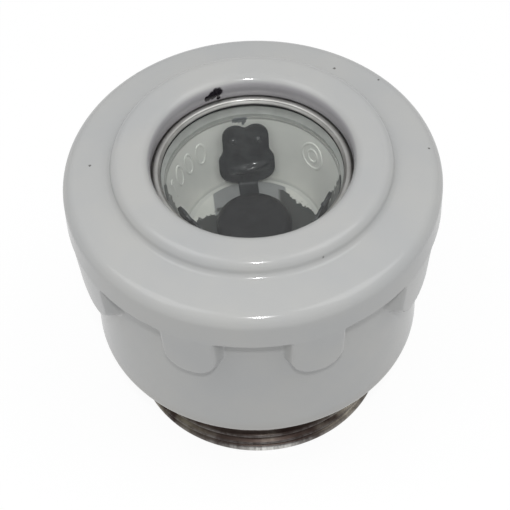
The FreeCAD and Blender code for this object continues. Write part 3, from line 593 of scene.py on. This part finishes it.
def cap_rows():
    """The cap's section from the cavity's mouth round the outside to the mouth of the bore and down it.

    Each row is (radius, height, whether lugs can push it out).
    """
    slope = math.radians(FLANGE_SLOPE)
    rim_height = FLANGE_RIM - FLANGE_ROUND * (1 / math.cos(slope) - math.tan(slope))
    root_line = FLANGE_RIM + (FLANGE_RADIUS - CROWN_RADIUS) * math.tan(slope)
    root_height = root_line + CROWN_ROOT_ROUND * (1 / math.cos(slope) - math.tan(slope))
    shoulder_height = max(CROWN_TOP - CROWN_ROUND, root_height)
    rows = [(CAVITY_RADIUS, BODY_BOTTOM)]
    rows += between(rows[-1], (BODY_RADIUS - BODY_ROUND, BODY_BOTTOM), 3)
    rows += arc(BODY_RADIUS - BODY_ROUND, BODY_BOTTOM + BODY_ROUND, BODY_ROUND, -90, 0, 10)
    low = LUG_BOTTOM - LUG_EDGE
    rows += between(rows[-1], (BODY_RADIUS, low), 10)
    lug_top = LUG_BOTTOM + LUG_ROUND + LUG_TOP_MARGIN
    band_low = FLANGE_BOTTOM - EDGE_BAND
    heights = []
    band_high = FLANGE_BOTTOM + EDGE_BAND
    for start, end, steps in ((low, lug_top, 30), (lug_top, band_low, 8), (band_low, band_high, 16)):
        heights += [mix(start, end, step / steps) for step in range(steps)]
    rows += [(None, height) for height in heights]
    rows += [(FLANGE_RADIUS, FLANGE_BOTTOM + 2 * FACE_MARGIN), (FLANGE_RADIUS, rim_height - FACE_MARGIN)]
    rows += arc(FLANGE_RADIUS - FLANGE_ROUND, rim_height, FLANGE_ROUND, 0, 90 - FLANGE_SLOPE, 12)
    root = arc(CROWN_RADIUS + CROWN_ROOT_ROUND, root_height, CROWN_ROOT_ROUND, 270 - FLANGE_SLOPE, 180, 8)
    rows += between(rows[-1], root[0], 6)
    rows += root
    rows += arc(CROWN_RADIUS - CROWN_ROUND, shoulder_height, CROWN_ROUND, 0, 90, 10)[1:]
    mouth = arc(BORE_RADIUS + MOUTH_ROUND, CROWN_TOP - MOUTH_ROUND, MOUTH_ROUND, 90, 180, 10)
    rows += between(rows[-1], mouth[0], 4)
    rows += mouth
    rows += [
        (BORE_RADIUS, RING_HIGH.z),
        (BORE_RADIUS, RIM_TOP + 2.5 * SEAM),
        (RING_HIGH.x + SEAM, RIM_TOP + SEAM),
        (RING_HIGH.x + SEAM, RING_LOW.z),
        (BORE_RADIUS, RING_LOW.z),
        (BORE_RADIUS, LEDGE),
        (BOWL_HOLE_TOP, LEDGE),
        (BOWL_HOLE_BOTTOM, WEB_TOP),
        (BUSH_HOLE, WEB_TOP),
        (BUSH_HOLE, WEB_BOTTOM),
        (CAVITY_RADIUS, WEB_BOTTOM),
    ]
    return rows


def make_cap(material):
    """The ceramic, with its grip lugs running out of the flange in soft glazed hollows."""
    columns = lug_columns()
    first = math.radians(LUG_TURN)
    rows = []
    for radius, height in cap_rows():
        ring = []
        for angle in columns:
            here = radius
            if here is None:
                here = mix(BODY_RADIUS, face_radius(height), lug_share(angle, height))
            turn = angle + first
            ring.append((here * math.sin(turn), -here * math.cos(turn), height))
        rows.append(ring)
    mesh = grid_mesh("glazed_cap", rows, True)
    return new_object("glazed_cap", mesh, material, "cap", "glaze", "ceramic_cap")


# ---------- the threaded shell ----------

SHELL_RADIUS = 22.9 * MM
CREST_RADIUS = SHELL_HIGH.x
HEM_RADIUS = 0.95 * MM
HEM_START = 160
HEM_END = 430
SHELL_WALL = 1.2 * MM
THREAD_PITCH = 2.309 * MM
CREST_HEIGHT = 2.9 * MM
THREAD_END = SHELL_HIGH.z - 9.6 * MM
BUSH_RADIUS = 4.2 * MM
SHELL_COLUMNS = 288
THREAD_STEP = 0.13 * MM
RUN_IN = 0.6 * MM
CREST_SHARPNESS = 1.6
INNER_ROUND = 0.6 * MM
TOP_ROUND = 0.8 * MM
HEM_TOP = 2.2 * MM
THREAD_START = 1.95 * MM


def thread_rise(angle, height):
    """How far the rolled thread stands out: narrow round crests with wide hollows between them."""
    turns = (height - CREST_HEIGHT) / THREAD_PITCH - angle / TURN
    wave = 0.5 + 0.5 * math.cos(TURN * turns)
    low_fade = smooth((height - 2 * HEM_RADIUS + RUN_IN / 2) / RUN_IN)
    fade = low_fade * smooth((THREAD_END - height) / THREAD_PITCH)
    return (CREST_RADIUS - SHELL_RADIUS) * wave ** CREST_SHARPNESS * fade


def make_shell(material):
    """A cup of thin sheet: plate on top, rolled right-hand thread, and a rim rolled into a bead."""
    inner = SHELL_RADIUS - SHELL_WALL
    top = SHELL_HIGH.z
    bead = CREST_RADIUS - HEM_RADIUS
    outline = [(inner, top - SHELL_WALL - INNER_ROUND), (inner, HEM_TOP)]
    outline += arc(bead, HEM_RADIUS, HEM_RADIUS, HEM_START, HEM_END, 26)
    steps = round((THREAD_END - THREAD_START) / THREAD_STEP)
    outline += [(None, mix(THREAD_START, THREAD_END, step / steps)) for step in range(steps + 1)]
    outline += arc(SHELL_RADIUS - TOP_ROUND, top - TOP_ROUND, TOP_ROUND, 0, 90, 5)
    outline += [(BUSH_RADIUS, top), (BUSH_RADIUS, top - SHELL_WALL)]
    outline += [(inner - INNER_ROUND, top - SHELL_WALL)]
    rows = []
    for radius, height in outline:
        ring = []
        for column in range(SHELL_COLUMNS):
            angle = TURN * column / SHELL_COLUMNS
            here = SHELL_RADIUS + thread_rise(angle, height) if radius is None else radius
            ring.append((here * math.sin(angle), -here * math.cos(angle), height))
        rows.append(ring)
    mesh = grid_mesh("rolled_shell", rows, True)
    return new_object("rolled_shell", mesh, material, "cap", "nickel", "thread_shell")


# ---------- the window's ring, the button and the spring ----------

RING_LIP = 0.35 * MM
LIP_THICK = 0.1 * MM
BEAD_STEPS = 20
BEAD_FULLNESS = 0.7
BEZEL_COLUMNS = 256


def make_bezel(material):
    """The ring that holds the glass: a rim under the bore's wall, a round bead and a thin lip inside it."""
    outer = RING_HIGH.x
    middle = BEAD_INNER + BEAD_WIDTH / 2
    lip = BEAD_INNER - RING_LIP
    glass = GLASS_HIGH.z + SEAM
    outline = [(lip, glass), (lip + LIP_THICK, glass), (lip + LIP_THICK, RING_LOW.z)]
    outline += [(outer, RING_LOW.z), (outer, RIM_TOP)]
    for step in range(BEAD_STEPS + 1):
        angle = math.pi * step / BEAD_STEPS
        height = RIM_TOP + (RING_HIGH.z - RIM_TOP) * math.sin(angle) ** BEAD_FULLNESS
        outline.append((middle + BEAD_WIDTH / 2 * math.cos(angle), height))
    outline.append((lip, RIM_TOP - LIP_THICK))
    mesh = lathe("domed_bezel", outline, BEZEL_COLUMNS)
    return new_object("domed_bezel", mesh, material, "cap", "bright_steel", "bezel_ring")


BUTTON_HOLE = 2.02 * MM
BUTTON_HOLE_DEPTH = 1.0 * MM
BUTTON_FOOT_ROUND = 0.4 * MM
BUTTON_SHOULDER = 1.3 * MM
BUTTON_DISH = 0.22 * MM
DISH_STEEPNESS = 2.2
BUTTON_COLUMNS = 160


def make_button(material):
    """A moulded disc with a round shoulder, a slightly dished top and a blind hole for the stem."""
    radius = BUTTON_HIGH.x
    low = BUTTON_LOW.z
    top = BUTTON_HIGH.z
    flat = radius - BUTTON_SHOULDER
    hole_top = low + BUTTON_HOLE_DEPTH
    outline = [(0.0, hole_top), (BUTTON_HOLE, hole_top), (BUTTON_HOLE, low)]
    outline += arc(radius - BUTTON_FOOT_ROUND, low + BUTTON_FOOT_ROUND, BUTTON_FOOT_ROUND, -90, 0, 4)
    outline += arc(flat, top - BUTTON_SHOULDER, BUTTON_SHOULDER, 0, 90, 12)
    for share in (0.95, 0.9, 0.8, 0.6, 0.4, 0.2, 0.0):
        outline.append((flat * share, top - BUTTON_DISH * smooth((1 - share) * DISH_STEEPNESS)))
    mesh = lathe("round_button", outline, BUTTON_COLUMNS, closed=False)
    return new_object("round_button", mesh, material, "contact", "black_plastic", "indicator_button")


SPRING_TURNS = 4
SPRING_WIRE = 0.45 * MM
SPRING_RADIUS = 5.0 * MM
STEPS_PER_TURN = 64
WIRE_SIDES = 16


def make_return_spring(material):
    """A coil of round wire against the bush nut, built at one length; the real one shortens as the contact is
    pushed in.
    """
    low = SPRING_LOW.z + SPRING_WIRE
    high = SPRING_HIGH.z - SPRING_WIRE
    up = Vector((0, 0, 1))
    steps = STEPS_PER_TURN * SPRING_TURNS
    rows = []
    turns = [TURN * column / WIRE_SIDES for column in range(WIRE_SIDES)]
    for step in range(steps + 1):
        share = step / steps
        angle = TURN * SPRING_TURNS * share
        out = Vector((math.cos(angle), math.sin(angle), 0))
        centre = out * SPRING_RADIUS + up * mix(low, high, share)
        rows.append([
            tuple(centre + out * (SPRING_WIRE * math.cos(turn)) + up * (SPRING_WIRE * math.sin(turn)))
            for turn in turns
        ])
    mesh = grid_mesh("coil_spring", rows, False)
    work = bmesh.new()
    work.from_mesh(mesh)
    bmesh.ops.holes_fill(work, edges=[edge for edge in work.edges if edge.is_boundary])
    bmesh.ops.recalc_face_normals(work, faces=work.faces)
    work.to_mesh(mesh)
    work.free()
    piece = new_object("coil_spring", mesh, material, "cap", "bright_steel", "return_spring")
    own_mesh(piece)


# ---------- the claws behind the glass ----------

SHEET = 0.5 * MM
SHEET_MIDDLE = CLAW_LOW.z + SHEET / 2
CLAW_COUNT = 3
CLAW_TURN = -4.5
HUB_RADIUS = 6.4 * MM
NECK = 1.8 * MM
HEAD = 5.2 * MM
# The lean of the liner's wall: how far it runs out and up, in millimetres.
WALL_OUT = 2.9
WALL_RISE = 13.8
WALL_LEAN = math.atan(WALL_OUT / WALL_RISE)
BEND_CORNER = 11.04 * MM
BEND_ROUND = 1.0 * MM
HEAD_FOOT = 0.35 * MM
CHEEK_ROUND = 3.0 * MM
HORN_OFFSET = 1.9 * MM
HORN_ROUND = 2.4 * MM
HEAD_EXTRA = 0.6 * MM
HEAD_TOP = (CLAW_HIGH.z + HEAD_EXTRA - SHEET_MIDDLE) / math.cos(WALL_LEAN)
CUT = 0.25 * MM
# The neck where it leaves the hub and flares into the head, and the head's waist and notch.
NECK_OVERLAP = 0.2 * MM
NECK_FLARE = 0.15 * MM
NECK_FLARE_RISE = 0.5 * MM
NECK_FLARE_TOP = 0.1 * MM
WAIST_RISE = 4.4 * MM
WAIST_START = 0.45
WAIST_STEPS = 10
NOTCH_DEPTH = 0.18 * MM
# The relief pressed into the head: two bosses, a slanting fold and a broad swell above it.
BOSS_OFFSET = 2.3 * MM
BOSS_DROP = 3.3 * MM
BOSS_HEIGHT = 0.6 * MM
BOSS_RADIUS = 0.7 * MM
FOLD_RISE = 3.5 * MM
FOLD_TILT = 0.12
FOLD_WIDTH = 0.7 * MM
FOLD_HEIGHT = 1.2 * MM
FOLD_MIDDLE = 0.6 * MM
FOLD_REACH = 4.4 * MM
FOLD_FLAT = 1.1
SWELL_RISE = 6.5 * MM
SWELL_WIDTH = 2.2 * MM
SWELL_HEIGHT = 0.25 * MM
RELIEF_START = 1.0 * MM
# The flat ring in the middle, and the softened edges.
HUB_HOLE = 4.25 * MM
HUB_SIDES = 96
HUB_DROP = 0.01 * MM
EDGE_SOFTNESS = 0.14 * MM
EDGE_ANGLE = 50


def claw_outline():
    """The right half of a claw's outline, from its neck to the notch, in distances across and along.

    Distances along the sheet start at the axis, and BEND_CORNER is where the neck turns up.
    """
    foot = BEND_CORNER + HEAD_FOOT
    cheek = foot + CHEEK_ROUND
    waist = cheek + WAIST_RISE
    horn = BEND_CORNER + HEAD_TOP - HORN_ROUND
    side = HORN_OFFSET + HORN_ROUND
    points = [(NECK, HUB_RADIUS - NECK_OVERLAP), (NECK, foot - NECK_FLARE_RISE)]
    points += [(NECK + NECK_FLARE, foot - NECK_FLARE_TOP)]
    points += arc(HEAD - CHEEK_ROUND, cheek, CHEEK_ROUND, -90, 0, 10)
    for step in range(1, WAIST_STEPS + 1):
        share = step / WAIST_STEPS
        drawn_in = smooth((share - WAIST_START) / (1 - WAIST_START))
        points.append((mix(HEAD, side, drawn_in), mix(cheek, waist, share)))
    points += arc(HORN_OFFSET, horn, HORN_ROUND, 0, 125, 14)
    points.append((0.0, points[-1][1] - NOTCH_DEPTH))
    return points


def claw_relief(across, along):
    """How far the pressed sheet stands in from the wall: two bosses under the horns and a fold below."""
    rise = along - BEND_CORNER
    height = 0.0
    for side in (-1, 1):
        away = math.hypot(across - side * BOSS_OFFSET, rise - HEAD_TOP + BOSS_DROP)
        height += BOSS_HEIGHT * smooth(1 - away / BOSS_RADIUS)
    fold = (rise - FOLD_RISE - FOLD_TILT * across) / FOLD_WIDTH
    reach = smooth(FOLD_FLAT - abs(across - FOLD_MIDDLE) / FOLD_REACH)
    height += FOLD_HEIGHT * math.exp(-fold * fold) * reach
    swell = (rise - SWELL_RISE) / SWELL_WIDTH
    height += SWELL_HEIGHT * math.exp(-swell * swell) * smooth(1 - abs(across) / HEAD)
    return height


def bend_claw(across, along, turn):
    """A flat point of a claw, bent up the wall and turned about the axis."""
    half = math.pi / 4 - WALL_LEAN / 2
    start = BEND_CORNER - BEND_ROUND * math.tan(half)
    bent = (along - start) / BEND_ROUND
    full = math.pi / 2 - WALL_LEAN
    angle = min(max(bent, 0.0), full)
    radius = min(along, start) + BEND_ROUND * math.sin(angle)
    height = SHEET_MIDDLE + BEND_ROUND * (1 - math.cos(angle))
    rest = max(bent - full, 0.0) * BEND_ROUND
    inward = claw_relief(across, along) * smooth(rest / RELIEF_START)
    radius += rest * math.cos(angle) - inward * math.sin(angle)
    height += rest * math.sin(angle) + inward * math.cos(angle)
    centre = Vector((across, radius, height))
    return Matrix.Rotation(-turn, 3, "Z") @ centre


def make_claws(material):
    """Three claws pressed from one sheet, standing against the liner's wall, round a flat middle."""
    right = claw_outline()
    outline = right + [(-across, along) for across, along in reversed(right[:-1])]
    work = bmesh.new()
    for index in range(CLAW_COUNT):
        turn = math.radians(CLAW_TURN + 360 / CLAW_COUNT * index)
        part = bmesh.new()
        part.faces.new([part.verts.new((across, along, 0)) for across, along in outline])
        for axis, start, end in ((0, -HEAD, HEAD), (1, HUB_RADIUS, BEND_CORNER + HEAD_TOP)):
            normal = Vector((1 - axis, axis, 0))
            for cut in range(1, round((end - start) / CUT)):
                place = normal * (start + cut * CUT)
                everything = part.verts[:] + part.edges[:] + part.faces[:]
                bmesh.ops.bisect_plane(
                    part, geom=everything, plane_co=place, plane_no=normal, dist=JOIN_DISTANCE)
        for vert in part.verts:
            vert.co = bend_claw(vert.co.x, vert.co.y, turn)
        sheet = bpy.data.meshes.new("claw_sheet")
        part.to_mesh(sheet)
        part.free()
        work.from_mesh(sheet)
        bpy.data.meshes.remove(sheet)
    rings = []
    angles = [TURN * column / HUB_SIDES for column in range(HUB_SIDES)]
    for radius in (HUB_HOLE, HUB_RADIUS):
        rings.append([
            work.verts.new((radius * math.cos(angle), radius * math.sin(angle), SHEET_MIDDLE - HUB_DROP))
            for angle in angles
        ])
    for column in range(HUB_SIDES):
        after = (column + 1) % HUB_SIDES
        work.faces.new((rings[0][column], rings[1][column], rings[1][after], rings[0][after]))
    bmesh.ops.recalc_face_normals(work, faces=work.faces)
    mesh = bpy.data.meshes.new("pressed_claws")
    work.to_mesh(mesh)
    work.free()
    piece = new_object("pressed_claws", mesh, material, "cap", "black_steel", "claw_spring")
    thick = piece.modifiers.new("thickness", "SOLIDIFY")
    thick.thickness = SHEET
    thick.offset = 0.0
    soft = piece.modifiers.new("edges", "BEVEL")
    soft.width = EDGE_SOFTNESS
    soft.segments = 2
    soft.limit_method = "ANGLE"
    soft.angle_limit = math.radians(EDGE_ANGLE)


# ---------- raised marks on the liner ----------

LINER_TOP_RADIUS = 15.6 * MM
LINER_FLOOR_RADIUS = 12.7 * MM
MARK_MIDDLE = 45.9 * MM
MARK_ROUND = 0.34 * MM
MARK_SUNK = 0.17 * MM
MARK_HEIGHT = 4.2 * MM
MARK_WIDTH = 2.1 * MM
MARK_SIDES = 10
STEM_STEPS = 12
FLAG_STEPS = 4
LOOP_STEPS = 36
FLAG_ACROSS = 0.8 * MM
FLAG_DROP = 0.7 * MM
# Angles of the number's digits, from the front towards +X, and of the rings, with the rings' sizes.
ONE_ANGLE = -103.0
ZERO_ANGLES = [-115.0, -127.5, -140.0]
RING_ANGLE = 130.0
RING_UP = 0.2 * MM
RING_SIZES = [1.2 * MM, 2.5 * MM]


def wall_place(turned_to, across, up):
    """A point just under the liner's wall, across and up from its middle height at an angle."""
    height = MARK_MIDDLE + up
    share = (height - PLATE_LOW.z) / (BOWL_HIGH.z - PLATE_LOW.z)
    radius = mix(LINER_FLOOR_RADIUS, LINER_TOP_RADIUS, share)
    return around(turned_to - math.degrees(across / radius), radius + MARK_SUNK, height)


def raised_line(work, points, closed):
    """Add a round line through points to a mesh in work."""
    rings = []
    turns = [TURN * column / MARK_SIDES for column in range(MARK_SIDES)]
    for index, point in enumerate(points):
        before = points[index - 1] if index or closed else point
        after = points[(index + 1) % len(points)] if index + 1 < len(points) or closed else point
        along = (after - before).normalized()
        inward = Vector((-point.x, -point.y, 0)).normalized()
        side = along.cross(inward).normalized()
        rings.append([
            work.verts.new(point + (inward * math.cos(turn) + side * math.sin(turn)) * MARK_ROUND)
            for turn in turns
        ])
    pairs = list(zip(rings, rings[1:] + rings[:1] if closed else rings[1:]))
    for first, second in pairs:
        for column in range(MARK_SIDES):
            after = (column + 1) % MARK_SIDES
            work.faces.new((first[column], first[after], second[after], second[column]))
    if not closed:
        work.faces.new(rings[0])
        work.faces.new(rings[-1])


def make_marks(material):
    """A plain raised number on the left of the liner's wall and two plain raised rings on the right."""
    work = bmesh.new()
    half = MARK_HEIGHT / 2
    stem = [
        wall_place(ONE_ANGLE, 0.0, mix(-half, half, step / STEM_STEPS)) for step in range(STEM_STEPS + 1)]
    shares = [step / FLAG_STEPS for step in range(FLAG_STEPS)]
    flag = [
        wall_place(ONE_ANGLE, mix(-FLAG_ACROSS, 0.0, share), mix(half - FLAG_DROP, half, share))
        for share in shares
    ]
    raised_line(work, stem, False)
    raised_line(work, flag, False)
    loops = [(turned_to, MARK_WIDTH / 2, half, 0.0) for turned_to in ZERO_ANGLES]
    loops += [(RING_ANGLE, size, size, RING_UP) for size in RING_SIZES]
    turns = [TURN * step / LOOP_STEPS for step in range(LOOP_STEPS)]
    for turned_to, wide, high, up in loops:
        raised_line(work, [
            wall_place(turned_to, wide * math.cos(turn), up + high * math.sin(turn)) for turn in turns], True)
    bmesh.ops.recalc_face_normals(work, faces=work.faces)
    mesh = bpy.data.meshes.new("raised_marks")
    work.to_mesh(mesh)
    work.free()
    new_object("raised_marks", mesh, material, "cap", "liner")


# ---------- camera, light and floor ----------

AIM = Vector((-0.12 * MM, 0.0, 30.91 * MM))
CAMERA_DISTANCE = 359.97 * MM
CAMERA_ELEVATION = 50.93
CAMERA_ROLL = -2.33
CAMERA_LENS = 135.26


def direction(azimuth, elevation):
    """From the part towards an observer; azimuth 0 is the front and 90 the right side, in degrees."""
    turn = math.radians(azimuth)
    lift = math.radians(elevation)
    return Vector((math.sin(turn) * math.cos(lift), -math.cos(turn) * math.cos(lift), math.sin(lift)))


def make_camera():
    data = bpy.data.cameras.new("camera")
    data.lens = CAMERA_LENS
    data.clip_start = 1 * MM
    camera = bpy.data.objects.new("camera", data)
    towards = direction(0.0, CAMERA_ELEVATION)
    camera.location = AIM + towards * CAMERA_DISTANCE
    look = (-towards).to_track_quat("-Z", "Y").to_matrix()
    roll = Matrix.Rotation(math.radians(CAMERA_ROLL), 3, "Z")
    camera.rotation_euler = (look @ roll).to_euler()
    bpy.context.scene.collection.objects.link(camera)
    bpy.context.scene.camera = camera


# Lamps: azimuth, elevation, size and power. The small one in front gives the sharp lights.
LAMP_DISTANCE = 0.7
LAMPS = [
    ("front_light", 1.0, 58.0, 0.035, 1.2),
    ("left_light", -75.0, 60.0, 0.4, 0.62),
    ("right_light", 75.0, 60.0, 0.4, 0.66),
]
WORLD_STRENGTH = 0.46


def make_lamp(name, azimuth, elevation, distance, size, power):
    """A square area lamp that faces the part."""
    data = bpy.data.lights.new(name, "AREA")
    data.shape = "SQUARE"
    data.size = size
    data.energy = power
    lamp = bpy.data.objects.new(name, data)
    towards = direction(azimuth, elevation)
    lamp.location = AIM + towards * distance
    lamp.rotation_euler = (-towards).to_track_quat("-Z", "Y").to_euler()
    bpy.context.scene.collection.objects.link(lamp)


# The part of the backdrop's white that reflections see, above and in the floor. The sky's is low, so
# that the dark parts behind the glass stay dark.
SKY_REFLECTED = 0.08
FLOOR_REFLECTED = 0.7


def backdrop_share(tree, reflected):
    """How much of the white backdrop a ray sees: all in the picture, a share in gloss and glass."""
    path = add(tree, "ShaderNodeLightPath")
    bent = maths(tree, "MAXIMUM", path.outputs["Is Glossy Ray"], path.outputs["Is Transmission Ray"])
    return maths(tree, "MAXIMUM", path.outputs["Is Camera Ray"], maths(tree, "MULTIPLY", bent, reflected))


def make_lights():
    """Pale light all round and the lamps."""
    for name, azimuth, elevation, size, power in LAMPS:
        make_lamp(name, azimuth, elevation, LAMP_DISTANCE, size, power)
    world = bpy.data.worlds.new("world")
    world.use_nodes = True
    tree = world.node_tree
    seen = backdrop_share(tree, SKY_REFLECTED)
    light = tree.nodes["Background"]
    light.inputs["Color"].default_value = (0.98, 0.99, 1.0, 1.0)
    light.inputs["Strength"].default_value = WORLD_STRENGTH
    white = add(tree, "ShaderNodeBackground", {"Color": (1.0, 1.0, 1.0, 1.0), "Strength": 1.0})
    mixer = add(tree, "ShaderNodeMixShader", {0: seen, 1: light.outputs[0], 2: white.outputs[0]})
    tree.links.new(mixer.outputs[0], tree.nodes["World Output"].inputs["Surface"])
    bpy.context.scene.world = world


FLOOR_SIZE = 3.0
FLOOR_GLOW = 1.15
GLOW_SHARE = 0.8


def make_floor():
    """A pale floor that shows white to the camera and keeps a faint shadow, and is clear from below."""
    mesh = bpy.data.meshes.new("floor")
    half = FLOOR_SIZE / 2
    corners = [(-half, -half, 0), (half, -half, 0), (half, half, 0), (-half, half, 0)]
    mesh.from_pydata(corners, [], [(0, 1, 2, 3)])
    floor = bpy.data.objects.new("floor", mesh)
    bpy.context.scene.collection.objects.link(floor)
    material, tree, shader = new_material("floor")
    place = object_place(tree)
    tone = ramp(tree, noise(tree, place, 60 * MM), [(0.3, 0.49), (0.7, 0.51)])
    tree.links.new(tone, shader.inputs["Base Color"])
    shader.inputs["Roughness"].default_value = 0.9
    seen = maths(tree, "MULTIPLY", backdrop_share(tree, FLOOR_REFLECTED), GLOW_SHARE)
    glow = add(tree, "ShaderNodeEmission", {"Color": (1.0, 1.0, 1.0, 1.0), "Strength": FLOOR_GLOW})
    mixer = add(tree, "ShaderNodeMixShader", {0: seen, 1: shader.outputs[0], 2: glow.outputs[0]})
    below = add(tree, "ShaderNodeNewGeometry").outputs["Backfacing"]
    clear = add(tree, "ShaderNodeBsdfTransparent")
    cover = add(tree, "ShaderNodeMixShader", {0: below, 1: mixer.outputs[0], 2: clear.outputs[0]})
    tree.links.new(cover.outputs[0], tree.nodes["Material Output"].inputs["Surface"])
    mesh.materials.append(material)


# ---------- making it ----------

def paint(node, material):
    """Give a node of the frame its material."""
    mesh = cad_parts[node].data
    mesh.materials.clear()
    mesh.materials.append(material)


BUTTON_SHINE = 0.2
make_camera()
make_lights()
make_floor()
glaze = make_glaze()
plate = make_plate()
steel = make_metal("plate_steel", (0.34, 0.36, 0.38), (0.24, 0.25, 0.26), 0.32, 0.5 * MM)
bright = make_metal("bright_steel", (0.68, 0.675, 0.65), (0.54, 0.53, 0.505), 0.38, 0.4 * MM)
brass = make_metal("brass", (0.72, 0.53, 0.27), (0.46, 0.31, 0.15), 0.26, 0.4 * MM)
nickel = make_shell_nickel()
gasket = make_moulded(
    "gasket", (0.018, 0.018, 0.019), (0.034, 0.034, 0.035), 0.6, 3 * MM, 0.25 * MM, 0.04 * MM)
seal = make_moulded(
    "pale_seal", (0.50, 0.51, 0.49), (0.58, 0.59, 0.57), 0.55, 3 * MM, 0.25 * MM, 0.03 * MM)
liner = make_liner()
black = make_moulded(
    "black_steel", (0.014, 0.016, 0.018), (0.034, 0.037, 0.040), 0.09, 2 * MM, 0.8 * MM, 0.03 * MM)
button = make_moulded(
    "black_plastic", (0.008, 0.008, 0.009), (0.016, 0.016, 0.018), 0.14, 3 * MM, 1.0 * MM, 0.02 * MM)
fibre = make_moulded(
    "fibre", (0.22, 0.08, 0.05), (0.34, 0.14, 0.09), 0.75, 1.0 * MM, 0.2 * MM, 0.08 * MM)
cement = make_moulded(
    "cement", (0.42, 0.40, 0.36), (0.58, 0.56, 0.52), 0.9, 1.2 * MM, 0.3 * MM, 0.25 * MM)
glass = make_glass()
button.node_tree.nodes["Principled BSDF"].inputs["Specular IOR Level"].default_value = BUTTON_SHINE

make_cap(glaze)
make_shell(nickel)
make_bezel(bright)
make_button(button)
make_return_spring(bright)
make_claws(black)
make_marks(liner)
paint("floor_washer", plate)
for name in ("bush_washer", "fixing_screws", "screw_washers", "fixing_nuts"):
    paint(name, steel)
for name in ("guide_bush", "bush_nut", "contact_stem", "contact_disc", "lock_nut"):
    paint(name, brass)
paint("bezel_gasket", gasket)
paint("seat_gasket", seal)
paint("window_glass", glass)
paint("dial_bowl", liner)
paint("shell_gasket", fibre)
paint("cement_ring", cement)

bpy.context.scene.view_settings.view_transform = "Standard"
